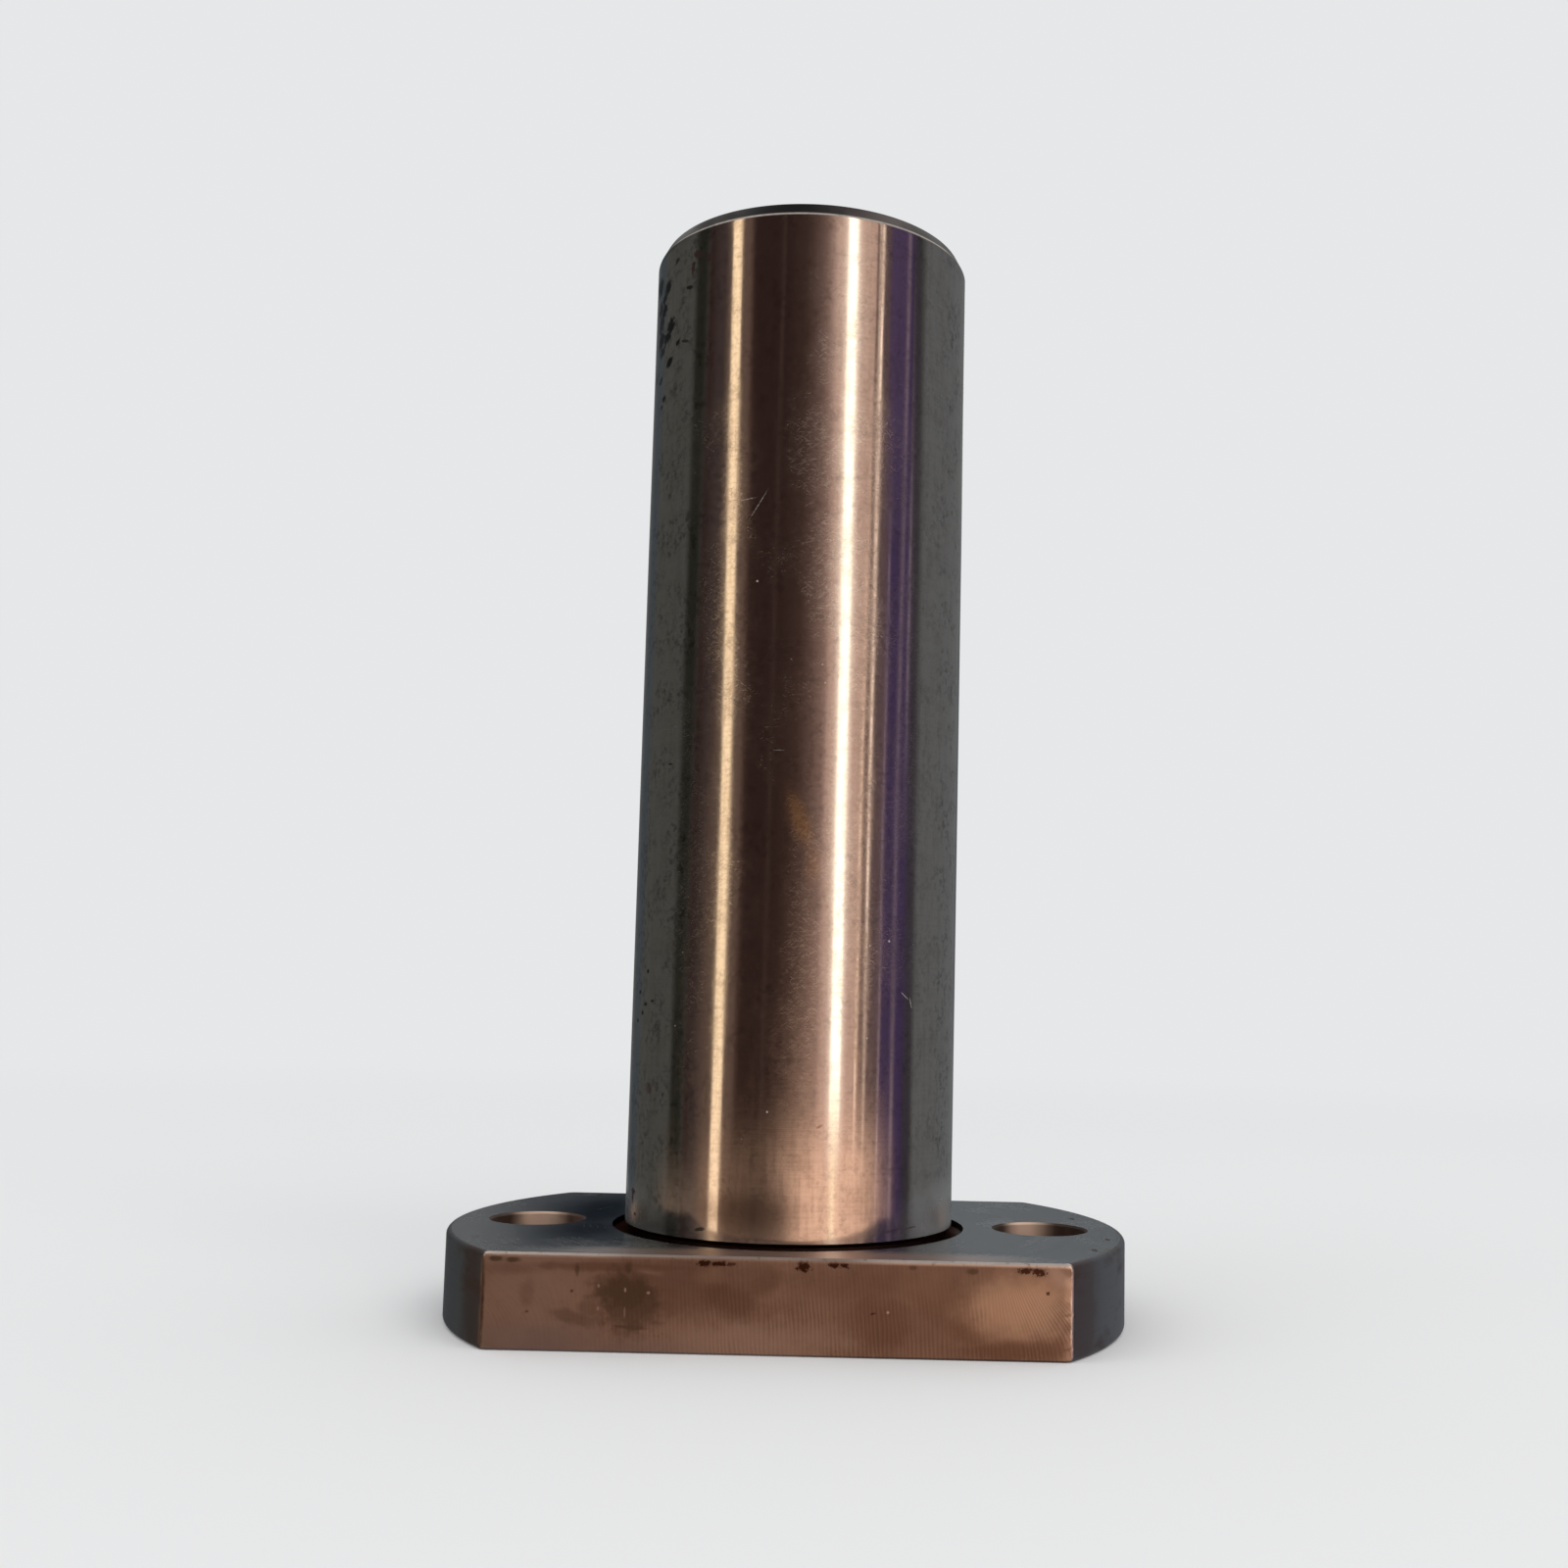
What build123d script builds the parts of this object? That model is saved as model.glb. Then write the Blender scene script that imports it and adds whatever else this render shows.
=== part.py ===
"""Flanged linear ball bearing, in millimetres.

A long hardened steel sleeve and its flange are turned from one bar. The flange is a disc with two
parallel flats and two bolt holes. Inside the sleeve, two ball retainers stand end to end, each with
five closed circuits of balls. A retaining ring and a rubber seal close each end.

The frame stands on the flange's end face: origin at the centre of that face, +Z up the sleeve,
X through the two bolt holes, Y square to the two flats.
"""

from build123d import *
import os
from math import atan2, cos, degrees, floor, hypot, pi, radians, sin, tan

# sleeve, and how thick the bearing is from the shaft to the sleeve's outside
sleeve_d = 32.0
sleeve_length = 106.0
bearing_section = 6.0
lead_in_length = 1.3
lead_in_depth = 0.7

# flange, with its rim, flats and bolt holes counted from the sleeve's outside
flange_t = 8.3
rim_reach = 16.75
flat_reach = 4.65
bolt_reach = 8.75
bolt_hole_d = 9.0
rim_rounding = 0.5
edge_break = 0.2

# grinding relief at the root of the sleeve
relief_reach = 1.2
relief_depth = 0.6
relief_undercut = 0.5
relief_lip = 0.4

# ball circuits
circuits = 5
balls_in_turn = 3
ball_d = 2.778
ball_gap = 0.07
race_gap = 0.04
channel_gap = 0.08

# ball retainers
retainer_wall_gap = 0.12
retainer_bore_gap = 0.4
retainer_end_wall = 1.6
retainer_end_gap = 0.1

# end seals and retaining rings
seat_step = 0.55
seal_recess = 0.5
seal_t = 2.6
seal_fit_gap = 0.02
seal_rim = 1.1
seal_lip_t = 0.6
seal_lip_land = 0.6
seal_lip_z = 1.5
seal_lip_height = 1.5
seal_groove_depth = 1.4
ring_t = 1.1
ring_side_gap = 0.05
ring_groove_depth = 0.8
ring_radial_gap = 0.1
ring_overlap = 0.8
ring_opening_angle = 34.0
mouth_break = 0.3

# sizes that follow from the sleeve
sleeve_r = sleeve_d / 2
shaft_r = sleeve_r - bearing_section
flange_d = sleeve_d + 2 * rim_reach
flange_width = sleeve_d + 2 * flat_reach
bolt_spacing = sleeve_d + 2 * bolt_reach

# radii that follow from the shaft, the balls and the walls between them
ball_r = ball_d / 2
load_row_r = shaft_r + ball_r
raceway_r = shaft_r + ball_d + race_gap
channel_r = ball_r + channel_gap
turn_r = (ball_d + ball_gap) / (2 * sin(pi / (2 * balls_in_turn)))
ball_pitch = pi * turn_r / balls_in_turn
return_row_r = hypot(load_row_r, 2 * turn_r)
turn_relief_r = return_row_r + channel_r
retainer_r = raceway_r - retainer_wall_gap
retainer_bore_r = shaft_r + retainer_bore_gap
seat_r = raceway_r + seat_step
ring_groove_r = seat_r + ring_groove_depth
ring_outer_r = ring_groove_r - ring_radial_gap
ring_inner_r = retainer_r - ring_overlap
relief_root_r = sleeve_r - relief_undercut
relief_outer_r = sleeve_r + relief_reach

# heights, counted from either end of the sleeve
ring_groove_w = ring_t + 2 * ring_side_gap
ring_groove_z = seal_recess + seal_t + retainer_end_gap
retainer_z = ring_groove_z + ring_groove_w + retainer_end_gap
retainer_length = (sleeve_length - 2 * retainer_z - retainer_end_gap) / 2
row_room = retainer_length - 2 * (retainer_end_wall + channel_r + turn_r)
balls_in_row = floor(row_room / ball_pitch)
row_length = balls_in_row * ball_pitch
retainer_levels = {
    "lower": retainer_z + retainer_length / 2,
    "upper": sleeve_length - retainer_z - retainer_length / 2,
}


def circuit_plane(number, mid_z):
    """The flat plane that a circuit's ball centres lie in, seen from outside, with Z as its y.

    It touches the pitch cylinder of the load row, so the balls move away from the shaft as they turn.
    """
    turn = radians(360 * number / circuits)
    outward = Vector(cos(turn), sin(turn), 0)
    sideways = Vector(-sin(turn), cos(turn), 0)
    middle = outward * load_row_r + sideways * turn_r + Vector(0, 0, mid_z)
    return Plane(origin=middle, x_dir=sideways, z_dir=outward)


def return_row_angle(number):
    """The angle about Z, in degrees, of a circuit's return row."""
    return 360 * number / circuits + degrees(atan2(2 * turn_r, load_row_r))


# The sleeve, with its flange, bore, seats, grooves, raceway reliefs and bolt holes.
with BuildPart() as flanged_sleeve:
    with BuildSketch(Plane.XY) as flange_disc:
        Circle(flange_d / 2)
    extrude(amount=flange_t)
    fillet(flanged_sleeve.edges().filter_by(GeomType.CIRCLE), radius=rim_rounding)
    with BuildSketch(Plane.XY) as between_the_flats:
        Rectangle(flange_d, flange_width)
    extrude(amount=flange_t, mode=Mode.INTERSECT)
    chamfer(flanged_sleeve.edges().filter_by(Axis.X), length=edge_break)
    with GridLocations(bolt_spacing, 0, 2, 1):
        Hole(bolt_hole_d / 2)
    hole_rims = flanged_sleeve.edges().filter_by(GeomType.CIRCLE)
    hole_rims = hole_rims.filter_by(lambda edge: abs(edge.radius - bolt_hole_d / 2) < 1e-6)
    chamfer(hole_rims, length=edge_break)

    with BuildSketch(Plane.XZ) as sleeve_section:
        with BuildLine():
            Polyline(
                (0, 0),
                (relief_root_r, 0),
                (relief_root_r, flange_t),
                (sleeve_r, flange_t + relief_lip),
                (sleeve_r, sleeve_length - lead_in_length),
                (sleeve_r - lead_in_depth, sleeve_length),
                (0, sleeve_length),
                close=True,
            )
        make_face()
    revolve(axis=Axis.Z)

    with BuildSketch(Plane.XY.offset(flange_t)) as relief_ring:
        Circle(relief_outer_r)
        Circle(relief_root_r, mode=Mode.SUBTRACT)
    extrude(amount=-relief_depth, mode=Mode.SUBTRACT)

    with BuildSketch(Plane.XY) as raceway:
        Circle(raceway_r)
    extrude(amount=sleeve_length, mode=Mode.SUBTRACT)

    seat_depth = ring_groove_z + ring_groove_w
    for start_z in (0, sleeve_length - seat_depth):
        with BuildSketch(Plane.XY.offset(start_z)):
            Circle(seat_r)
        extrude(amount=seat_depth, mode=Mode.SUBTRACT)
    for start_z in (ring_groove_z, sleeve_length - ring_groove_z - ring_groove_w):
        with BuildSketch(Plane.XY.offset(start_z)):
            Circle(ring_groove_r)
        extrude(amount=ring_groove_w, mode=Mode.SUBTRACT)

    for mid_z in retainer_levels.values():
        with BuildSketch(Plane.XY.offset(mid_z - row_length / 2)):
            for number in range(circuits):
                with PolarLocations(return_row_r, 1, start_angle=return_row_angle(number)):
                    Circle(channel_r)
        extrude(amount=row_length, mode=Mode.SUBTRACT)
        turn_relief_w = turn_r + channel_r
        for start_z in (mid_z + row_length / 2, mid_z - row_length / 2 - turn_relief_w):
            with BuildSketch(Plane.XY.offset(start_z)):
                Circle(turn_relief_r)
            extrude(amount=turn_relief_w, mode=Mode.SUBTRACT)

    mouth_edges = flanged_sleeve.edges().filter_by(GeomType.CIRCLE).group_by(Axis.Z)
    mouth_edges = mouth_edges[0] + mouth_edges[-1]
    mouth_edges = mouth_edges.filter_by(lambda edge: abs(edge.radius - seat_r) < 1e-6)
    chamfer(mouth_edges, length=mouth_break)


def make_retainer(mid_z):
    """A moulded tube with one racetrack groove for each circuit, open outwards and slit to the bore."""
    with BuildPart() as retainer:
        with BuildSketch(Plane.XY.offset(mid_z - retainer_length / 2)):
            Circle(retainer_r)
            Circle(retainer_bore_r, mode=Mode.SUBTRACT)
        extrude(amount=retainer_length)
        for number in range(circuits):
            plane = circuit_plane(number, mid_z)
            with BuildSketch(plane):
                SlotCenterToCenter(row_length, 2 * (turn_r + channel_r), rotation=90)
                SlotCenterToCenter(row_length, 2 * (turn_r - channel_r), rotation=90, mode=Mode.SUBTRACT)
            extrude(amount=retainer_r, mode=Mode.SUBTRACT)
            with BuildLine(plane) as track:
                up = Line((-turn_r, -row_length / 2), (-turn_r, row_length / 2))
                over = ThreePointArc(up @ 1, (0, row_length / 2 + turn_r), (turn_r, row_length / 2))
                down = Line(over @ 1, (turn_r, -row_length / 2))
                ThreePointArc(down @ 1, (0, -row_length / 2 - turn_r), up @ 0)
            with BuildSketch(Plane(origin=up @ 0, z_dir=up % 0)):
                Circle(channel_r)
            sweep(path=track.wires()[0], mode=Mode.SUBTRACT)
    return retainer


def make_seal(start_z, facing):
    """A rubber ring: a rim that fits the seat, and one lip that reaches in and out to the shaft.

    Its outer face is at start_z, and facing is the direction of its inner face along Z. The section
    is drawn as points of radius and depth from the outer face.
    """
    rim_r = seat_r - seal_fit_gap
    lip_corner_r = shaft_r + seal_lip_z - seal_lip_land
    section = [
        (rim_r, 0),
        (rim_r, seal_t),
        (shaft_r + seal_lip_height, seal_t),
        (shaft_r, seal_lip_z),
        (shaft_r, seal_lip_z - seal_lip_land),
        (lip_corner_r, 0),
        (lip_corner_r + seal_lip_t, 0),
        (rim_r - seal_rim, seal_groove_depth),
        (rim_r - seal_rim, 0),
    ]
    with BuildPart() as seal:
        with BuildSketch(Plane.XZ):
            with BuildLine():
                Polyline(*[(r, start_z + facing * depth) for r, depth in section], close=True)
            make_face()
        revolve(axis=Axis.Z)
    return seal


def make_ring(start_z):
    """An open spring ring that sits in the sleeve's groove and holds a retainer in."""
    with BuildPart() as ring:
        with BuildSketch(Plane.XY.offset(start_z)):
            Circle(ring_outer_r)
            Circle(ring_inner_r, mode=Mode.SUBTRACT)
            half_opening = 2 * ring_outer_r * tan(radians(ring_opening_angle / 2))
            with BuildLine():
                Polyline(
                    (0, 0),
                    (2 * ring_outer_r, -half_opening),
                    (2 * ring_outer_r, half_opening),
                    close=True,
                )
            make_face(mode=Mode.SUBTRACT)
        extrude(amount=ring_t)
    return ring


def make_balls(centres):
    """Steel balls at the given points, each a solid of its own."""
    with BuildPart() as balls:
        with Locations(*centres):
            Sphere(ball_r)
    return balls


def row_balls(plane, side):
    """Ball centres along one straight of a circuit: side -1 is the load row, side 1 the return row."""
    steps = [row_length / 2 - step * ball_pitch for step in range(balls_in_row)]
    return [plane.from_local_coords((side * turn_r, side * along, 0)) for along in steps]


def turn_balls(plane, side):
    """Ball centres round one end of a circuit: side 1 is the upper turn, side -1 the lower one."""
    angles = [step * pi / balls_in_turn for step in range(balls_in_turn)]
    return [
        plane.from_local_coords((-side * turn_r * cos(a), side * (row_length / 2 + turn_r * sin(a)), 0))
        for a in angles
    ]


def write(piece, name):
    """Labels a finished piece and writes it as a node of that name."""
    piece.part.label = name
    export_step(piece.part, f"parts/{name}.step")


os.makedirs("parts", exist_ok=True)
write(flanged_sleeve, "flanged_sleeve")
write(make_seal(seal_recess, 1), "lower_end_seal")
write(make_seal(sleeve_length - seal_recess, -1), "upper_end_seal")
write(make_ring(ring_groove_z + ring_side_gap), "lower_retaining_ring")
write(make_ring(sleeve_length - ring_groove_z - ring_side_gap - ring_t), "upper_retaining_ring")

for level, mid_z in retainer_levels.items():
    write(make_retainer(mid_z), f"{level}_ball_retainer")
    for number in range(circuits):
        plane = circuit_plane(number, mid_z)
        circuit = f"{level}_circuit_{number + 1}"
        write(make_balls(row_balls(plane, -1)), f"{circuit}_load_balls")
        write(make_balls(row_balls(plane, 1)), f"{circuit}_return_balls")
        write(make_balls(turn_balls(plane, 1)), f"{circuit}_upper_turn_balls")
        write(make_balls(turn_balls(plane, -1)), f"{circuit}_lower_turn_balls")

print("balls in a row", balls_in_row, "pitch", round(ball_pitch, 4), "row length", round(row_length, 3))
print("sleeve wall over the turns", round(sleeve_r - turn_relief_r, 3))
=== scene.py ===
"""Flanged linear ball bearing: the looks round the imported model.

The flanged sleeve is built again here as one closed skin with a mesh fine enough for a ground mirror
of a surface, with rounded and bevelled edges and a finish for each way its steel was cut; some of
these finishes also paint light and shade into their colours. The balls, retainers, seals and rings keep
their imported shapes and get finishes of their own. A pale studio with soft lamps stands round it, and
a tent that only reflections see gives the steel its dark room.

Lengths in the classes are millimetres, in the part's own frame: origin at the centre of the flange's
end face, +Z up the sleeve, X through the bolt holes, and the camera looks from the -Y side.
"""

from __future__ import annotations

import logging
import math
from dataclasses import dataclass, field
from enum import Enum
from typing import Any, Sequence

import bmesh
import bpy
import numpy as np
from mathutils import Matrix, Vector

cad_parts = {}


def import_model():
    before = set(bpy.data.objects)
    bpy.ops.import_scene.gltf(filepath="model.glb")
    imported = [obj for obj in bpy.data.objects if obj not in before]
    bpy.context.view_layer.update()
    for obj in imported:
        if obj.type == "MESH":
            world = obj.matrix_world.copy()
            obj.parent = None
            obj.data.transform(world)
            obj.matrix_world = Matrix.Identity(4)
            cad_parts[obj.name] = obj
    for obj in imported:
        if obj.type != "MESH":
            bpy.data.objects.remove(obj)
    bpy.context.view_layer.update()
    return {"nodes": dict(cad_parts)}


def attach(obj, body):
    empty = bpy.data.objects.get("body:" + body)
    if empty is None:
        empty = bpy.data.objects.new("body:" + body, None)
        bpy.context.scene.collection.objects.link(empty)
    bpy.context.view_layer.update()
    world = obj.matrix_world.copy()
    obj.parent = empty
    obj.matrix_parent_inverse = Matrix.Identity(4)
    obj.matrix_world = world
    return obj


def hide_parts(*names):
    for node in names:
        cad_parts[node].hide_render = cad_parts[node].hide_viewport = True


log = logging.getLogger("bearing")

MM = 0.001
WELD_STEPS = 1e5
SHARP_ANGLE = 22.0
DISC_COLUMNS = 129
LEAST_ROUGHNESS = 0.05
QUARTER_TURN = 0.25
RING_SQUEEZE = (0.02, 0.02, 1.0)
RING_FILM_SQUEEZE = (0.7, 0.7, 1.6)
TURNED_SQUEEZE = 0.002
Colour = tuple[float, float, float]
Profile = list[tuple[float, float]]


class Region(Enum):
    """The finishes of the flanged sleeve, in the order of its material slots."""

    GROUND = 0
    LEAD_IN = 1
    END_FACE = 2
    RELIEF = 3
    FLANGE_TOP = 4
    RIM = 5
    FLAT = 6
    HOLE = 7
    UNDERSIDE = 8
    BORE = 9


class Lay(Enum):
    """Which way the cutting marks run."""

    ROUND = "rings round a cylinder, so they change with height"
    TURNED = "rings on a face, so they change with radius"


# shader maths


class Term:
    """A socket that takes part in Python expressions, each of which adds a Math node."""

    def __init__(self, shader: Nodes, socket: bpy.types.NodeSocket) -> None:
        """Wraps a socket.

        Args:
            shader: The tree that the socket's node is in.
            socket: The output that the expression starts from.
        """
        self.shader = shader
        self.socket = socket

    def math(self, operation: str, *values: Term | float) -> Term:
        """Adds a Math node.

        Args:
            operation: The node's operation.
            values: Its inputs in order.

        Returns:
            The node's output.
        """
        node = self.shader.node("ShaderNodeMath", {"operation": operation}, dict(enumerate(values)))
        return Term(self.shader, node.outputs[0])

    def __add__(self, other: Term | float) -> Term:
        """Returns self + other."""
        return self.math("ADD", self, other)

    def __radd__(self, other: float) -> Term:
        """Returns other + self."""
        return self.math("ADD", other, self)

    def __sub__(self, other: Term | float) -> Term:
        """Returns self - other."""
        return self.math("SUBTRACT", self, other)

    def __rsub__(self, other: float) -> Term:
        """Returns other - self."""
        return self.math("SUBTRACT", other, self)

    def __mul__(self, other: Term | float) -> Term:
        """Returns self * other."""
        return self.math("MULTIPLY", self, other)

    def __rmul__(self, other: float) -> Term:
        """Returns other * self."""
        return self.math("MULTIPLY", other, self)

    def __neg__(self) -> Term:
        """Returns -self."""
        return self.math("MULTIPLY", self, -1.0)

    def most(self, other: Term | float) -> Term:
        """Returns the larger of the two."""
        return self.math("MAXIMUM", self, other)

    def least(self, other: Term | float) -> Term:
        """Returns the smaller of the two."""
        return self.math("MINIMUM", self, other)

    def held(self) -> Term:
        """Returns the value held between 0 and 1."""
        return self.most(0.0).least(1.0)

    def wrapped(self, half: float) -> Term:
        """Returns the value brought between -half and half by whole turns."""
        return self.math("WRAP", self, half, -half)

    def root(self) -> Term:
        """Returns the square root."""
        return self.math("SQRT", self)

    def size(self) -> Term:
        """Returns the value without its sign."""
        return self.math("ABSOLUTE", self)

    def step(self, low: float, high: float, first: float = 0.0, last: float = 1.0) -> Term:
        """A smooth step.

        Args:
            low: Where the step starts.
            high: Where it ends.
            first: The value before it.
            last: The value after it.

        Returns:
            The stepped value, held outside low and high.
        """
        node = self.shader.node(
            "ShaderNodeMapRange",
            {"interpolation_type": "SMOOTHSTEP"},
            {"Value": self, "From Min": low, "From Max": high, "To Min": first, "To Max": last},
        )
        return Term(self.shader, node.outputs[0])


@dataclass(frozen=True)
class Spot:
    """A place on a surface, in that surface's own two directions, for a stain, fleck, worn place, painted
    highlight and painted shade alike.

    Args:
        along: Its place along the first direction.
        up: Its place along the second.
        width: Half its length along its own first direction.
        height: Half its length along its own second direction.
        depth: How strongly it shows, from 0 to 1.
        turn: How far it is turned, in degrees.
    """

    along: float
    up: float
    width: float
    height: float
    depth: float = 1.0
    turn: float = 0.0


@dataclass(frozen=True)
class Marks:
    """Marks of one kind on a finish.

    Args:
        colour: Their colour.
        places: Where they are.
        ragged: How uneven their edges are.
        soft: How far their edges fade either way, as a share of their size.
        grain: How many uneven places there are in a millimetre of edge.
        dull: How much duller they are than the surface round them.
        edge: Where the middle of the edge lies, as a share of their size.
    """

    colour: Colour
    places: tuple[Spot, ...]
    ragged: float = 0.25
    soft: float = 0.3
    grain: float = 1.7
    dull: float = 0.0
    edge: float = 0.95


@dataclass(frozen=True)
class Pattern:
    """Patches of smooth noise, cut out by a smooth step.

    Args:
        scale: Features in a millimetre.
        detail: Octaves added.
        rough: How strong the finer octaves are.
        low: The noise at which the step starts.
        high: The noise at which it ends.
        first: The value before the step.
        last: The value after it.
        squeeze: How much closer the features lie in each direction.
    """

    scale: float
    detail: float
    rough: float
    low: float
    high: float
    first: float = 0.0
    last: float = 1.0
    squeeze: tuple[float, float, float] | None = None


class Nodes:
    """A node tree that grows node by node."""

    def __init__(self, owner: bpy.types.Material | bpy.types.World) -> None:
        """Empties a tree.

        Args:
            owner: The material or the world that the tree belongs to.
        """
        owner.use_nodes = True
        self.tree = owner.node_tree
        self.tree.nodes.clear()

    def node(self, kind: str, settings: dict[str, Any], sockets: dict[int | str, Any]) -> bpy.types.Node:
        """Adds any node.

        Args:
            kind: The node's type.
            settings: What is set on the node first.
            sockets: The values or links of its inputs, by name or number.

        Returns:
            The node.
        """
        node = self.tree.nodes.new(kind)
        for name, value in settings.items():
            setattr(node, name, value)
        for key, value in sockets.items():
            socket = node.inputs[key]
            if isinstance(value, Term):
                self.tree.links.new(value.socket, socket)
            elif isinstance(value, bpy.types.NodeSocket):
                self.tree.links.new(value, socket)
            elif socket.type == "RGBA":
                socket.default_value = (*value, 1.0)
            else:
                socket.default_value = value
        return node


class Shader(Nodes):
    """A material's node tree, with the coordinates and patterns that the finishes share."""

    def __init__(self, name: str) -> None:
        """Starts an empty material.

        Args:
            name: The material's name.
        """
        self.material = bpy.data.materials.new(name)
        super().__init__(self.material)
        place = self.node("ShaderNodeTexCoord", {}, {}).outputs["Object"]
        self.place = self.scaled(place, (1 / MM,) * 3)
        parts = self.node("ShaderNodeSeparateXYZ", {}, {0: self.place}).outputs
        self.x, self.y, self.z = (Term(self, part) for part in parts)

    def scaled(self, vector: bpy.types.NodeSocket, factors: Sequence[float]) -> bpy.types.NodeSocket:
        """Returns a vector with each part multiplied by its factor."""
        settings = {"operation": "MULTIPLY"}
        return self.node("ShaderNodeVectorMath", settings, {0: vector, 1: factors}).outputs[0]

    def joined(self, x: Term | float, y: Term | float, z: Term | float = 0.0) -> bpy.types.NodeSocket:
        """Returns a vector of three values."""
        return self.node("ShaderNodeCombineXYZ", {}, {0: x, 1: y, 2: z}).outputs[0]

    def radius(self) -> Term:
        """Returns the distance from the bore's axis."""
        return (self.x * self.x + self.y * self.y).root()

    def angle(self) -> Term:
        """Returns the angle about the axis from the front, in degrees, to the right positive."""
        return self.x.math("ARCTAN2", self.x, -self.y) * math.degrees(1.0)

    def noise(self, vector: bpy.types.NodeSocket, scale: float, detail: float, rough: float) -> Term:
        """Smooth noise about 0.5.

        Args:
            vector: Where it is read.
            scale: Features in one unit of the vector.
            detail: Octaves added.
            rough: How strong the finer octaves are.

        Returns:
            The noise, from 0 to 1.
        """
        sockets = {"Vector": vector, "Scale": scale, "Detail": detail, "Roughness": rough}
        return Term(self, self.node("ShaderNodeTexNoise", {}, sockets).outputs[0])

    def pattern(self, vector: bpy.types.NodeSocket, patches: Pattern) -> Term:
        """Reads a pattern.

        Args:
            vector: Where it is read.
            patches: The pattern.

        Returns:
            Its value there.
        """
        if patches.squeeze:
            vector = self.scaled(vector, patches.squeeze)
        noise = self.noise(vector, patches.scale, patches.detail, patches.rough)
        return noise.step(patches.low, patches.high, patches.first, patches.last)

    def mix(self, share: Term | float, first: Any, second: Any) -> bpy.types.NodeSocket:
        """Mixes two colours.

        Args:
            share: How much of the second, from 0 to 1.
            first: A colour or a colour socket.
            second: A colour or a colour socket.

        Returns:
            The mixed colour.
        """
        sockets = {0: share, 6: first, 7: second}
        return self.node("ShaderNodeMix", {"data_type": "RGBA"}, sockets).outputs[2]

    def spots(self, along: Term, up: Term, marks: Marks) -> Term:
        """Masks the places of some marks.

        Each is 1 inside an ellipse and falls to 0 past its edge, which noise makes ragged.

        Args:
            along: The surface's first direction.
            up: The surface's second direction.
            marks: The marks.

        Returns:
            The strongest place at each point.
        """
        here = self.joined(along, up)
        uneven = (self.noise(self.place, marks.grain, 4.0, 0.6) - 0.5) * (4.0 * marks.ragged)
        inner, outer = marks.edge - marks.soft, marks.edge + marks.soft
        mask = None
        for spot in marks.places:
            settings = {"vector_type": "TEXTURE"}
            sockets = {
                "Vector": here,
                "Location": (spot.along, spot.up, 0.0),
                "Rotation": (0.0, 0.0, math.radians(spot.turn)),
                "Scale": (spot.width, spot.height, 1.0),
            }
            local = self.node("ShaderNodeMapping", settings, sockets).outputs[0]
            length = self.node("ShaderNodeVectorMath", {"operation": "LENGTH"}, {0: local}).outputs["Value"]
            one = (Term(self, length) + uneven).step(outer, inner, 0.0, spot.depth)
            mask = one if mask is None else mask.most(one)
        return mask

    def marked(
        self,
        along: Term,
        up: Term,
        groups: Sequence[Marks],
        colour: bpy.types.NodeSocket,
        dull: Term,
        cover: Term | float = 1.0,
    ) -> tuple[bpy.types.NodeSocket, Term]:
        """Lays groups of marks over a surface, one after another.

        Args:
            along: The surface's first direction.
            up: The surface's second direction.
            groups: The groups of marks.
            colour: The surface's colour.
            dull: Its roughness.
            cover: Where the marks may show, from 0 to 1.

        Returns:
            The colour and the roughness with the marks.
        """
        for marks in groups:
            mask = self.spots(along, up, marks) * cover
            colour = self.mix(mask, colour, marks.colour)
            dull = dull + mask * marks.dull
        return colour, dull

    def bump(self, height: Term, depth: float) -> bpy.types.NodeSocket:
        """Turns a height into a normal.

        Args:
            height: The height, about 0 to 1.
            depth: How deep one unit of it is.

        Returns:
            The bent normal.
        """
        return self.node("ShaderNodeBump", {}, {"Height": height, "Distance": depth * MM}).outputs[0]

    def surface(self, sockets: dict[str, Any]) -> bpy.types.Material:
        """Closes the tree with one Principled BSDF.

        Args:
            sockets: The values or links of the shader's inputs.

        Returns:
            The finished material.
        """
        return self.closed(self.node("ShaderNodeBsdfPrincipled", {}, sockets).outputs[0])

    def glow(self, colour: bpy.types.NodeSocket | Colour) -> bpy.types.NodeSocket:
        """Returns a surface that gives off a colour, as bright as the colour itself."""
        return self.node("ShaderNodeEmission", {}, {"Color": colour}).outputs[0]

    def closed(self, surface: bpy.types.NodeSocket) -> bpy.types.Material:
        """Returns the material, with a shader as its surface."""
        self.node("ShaderNodeOutputMaterial", {}, {"Surface": surface})
        return self.material


# finishes


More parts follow.
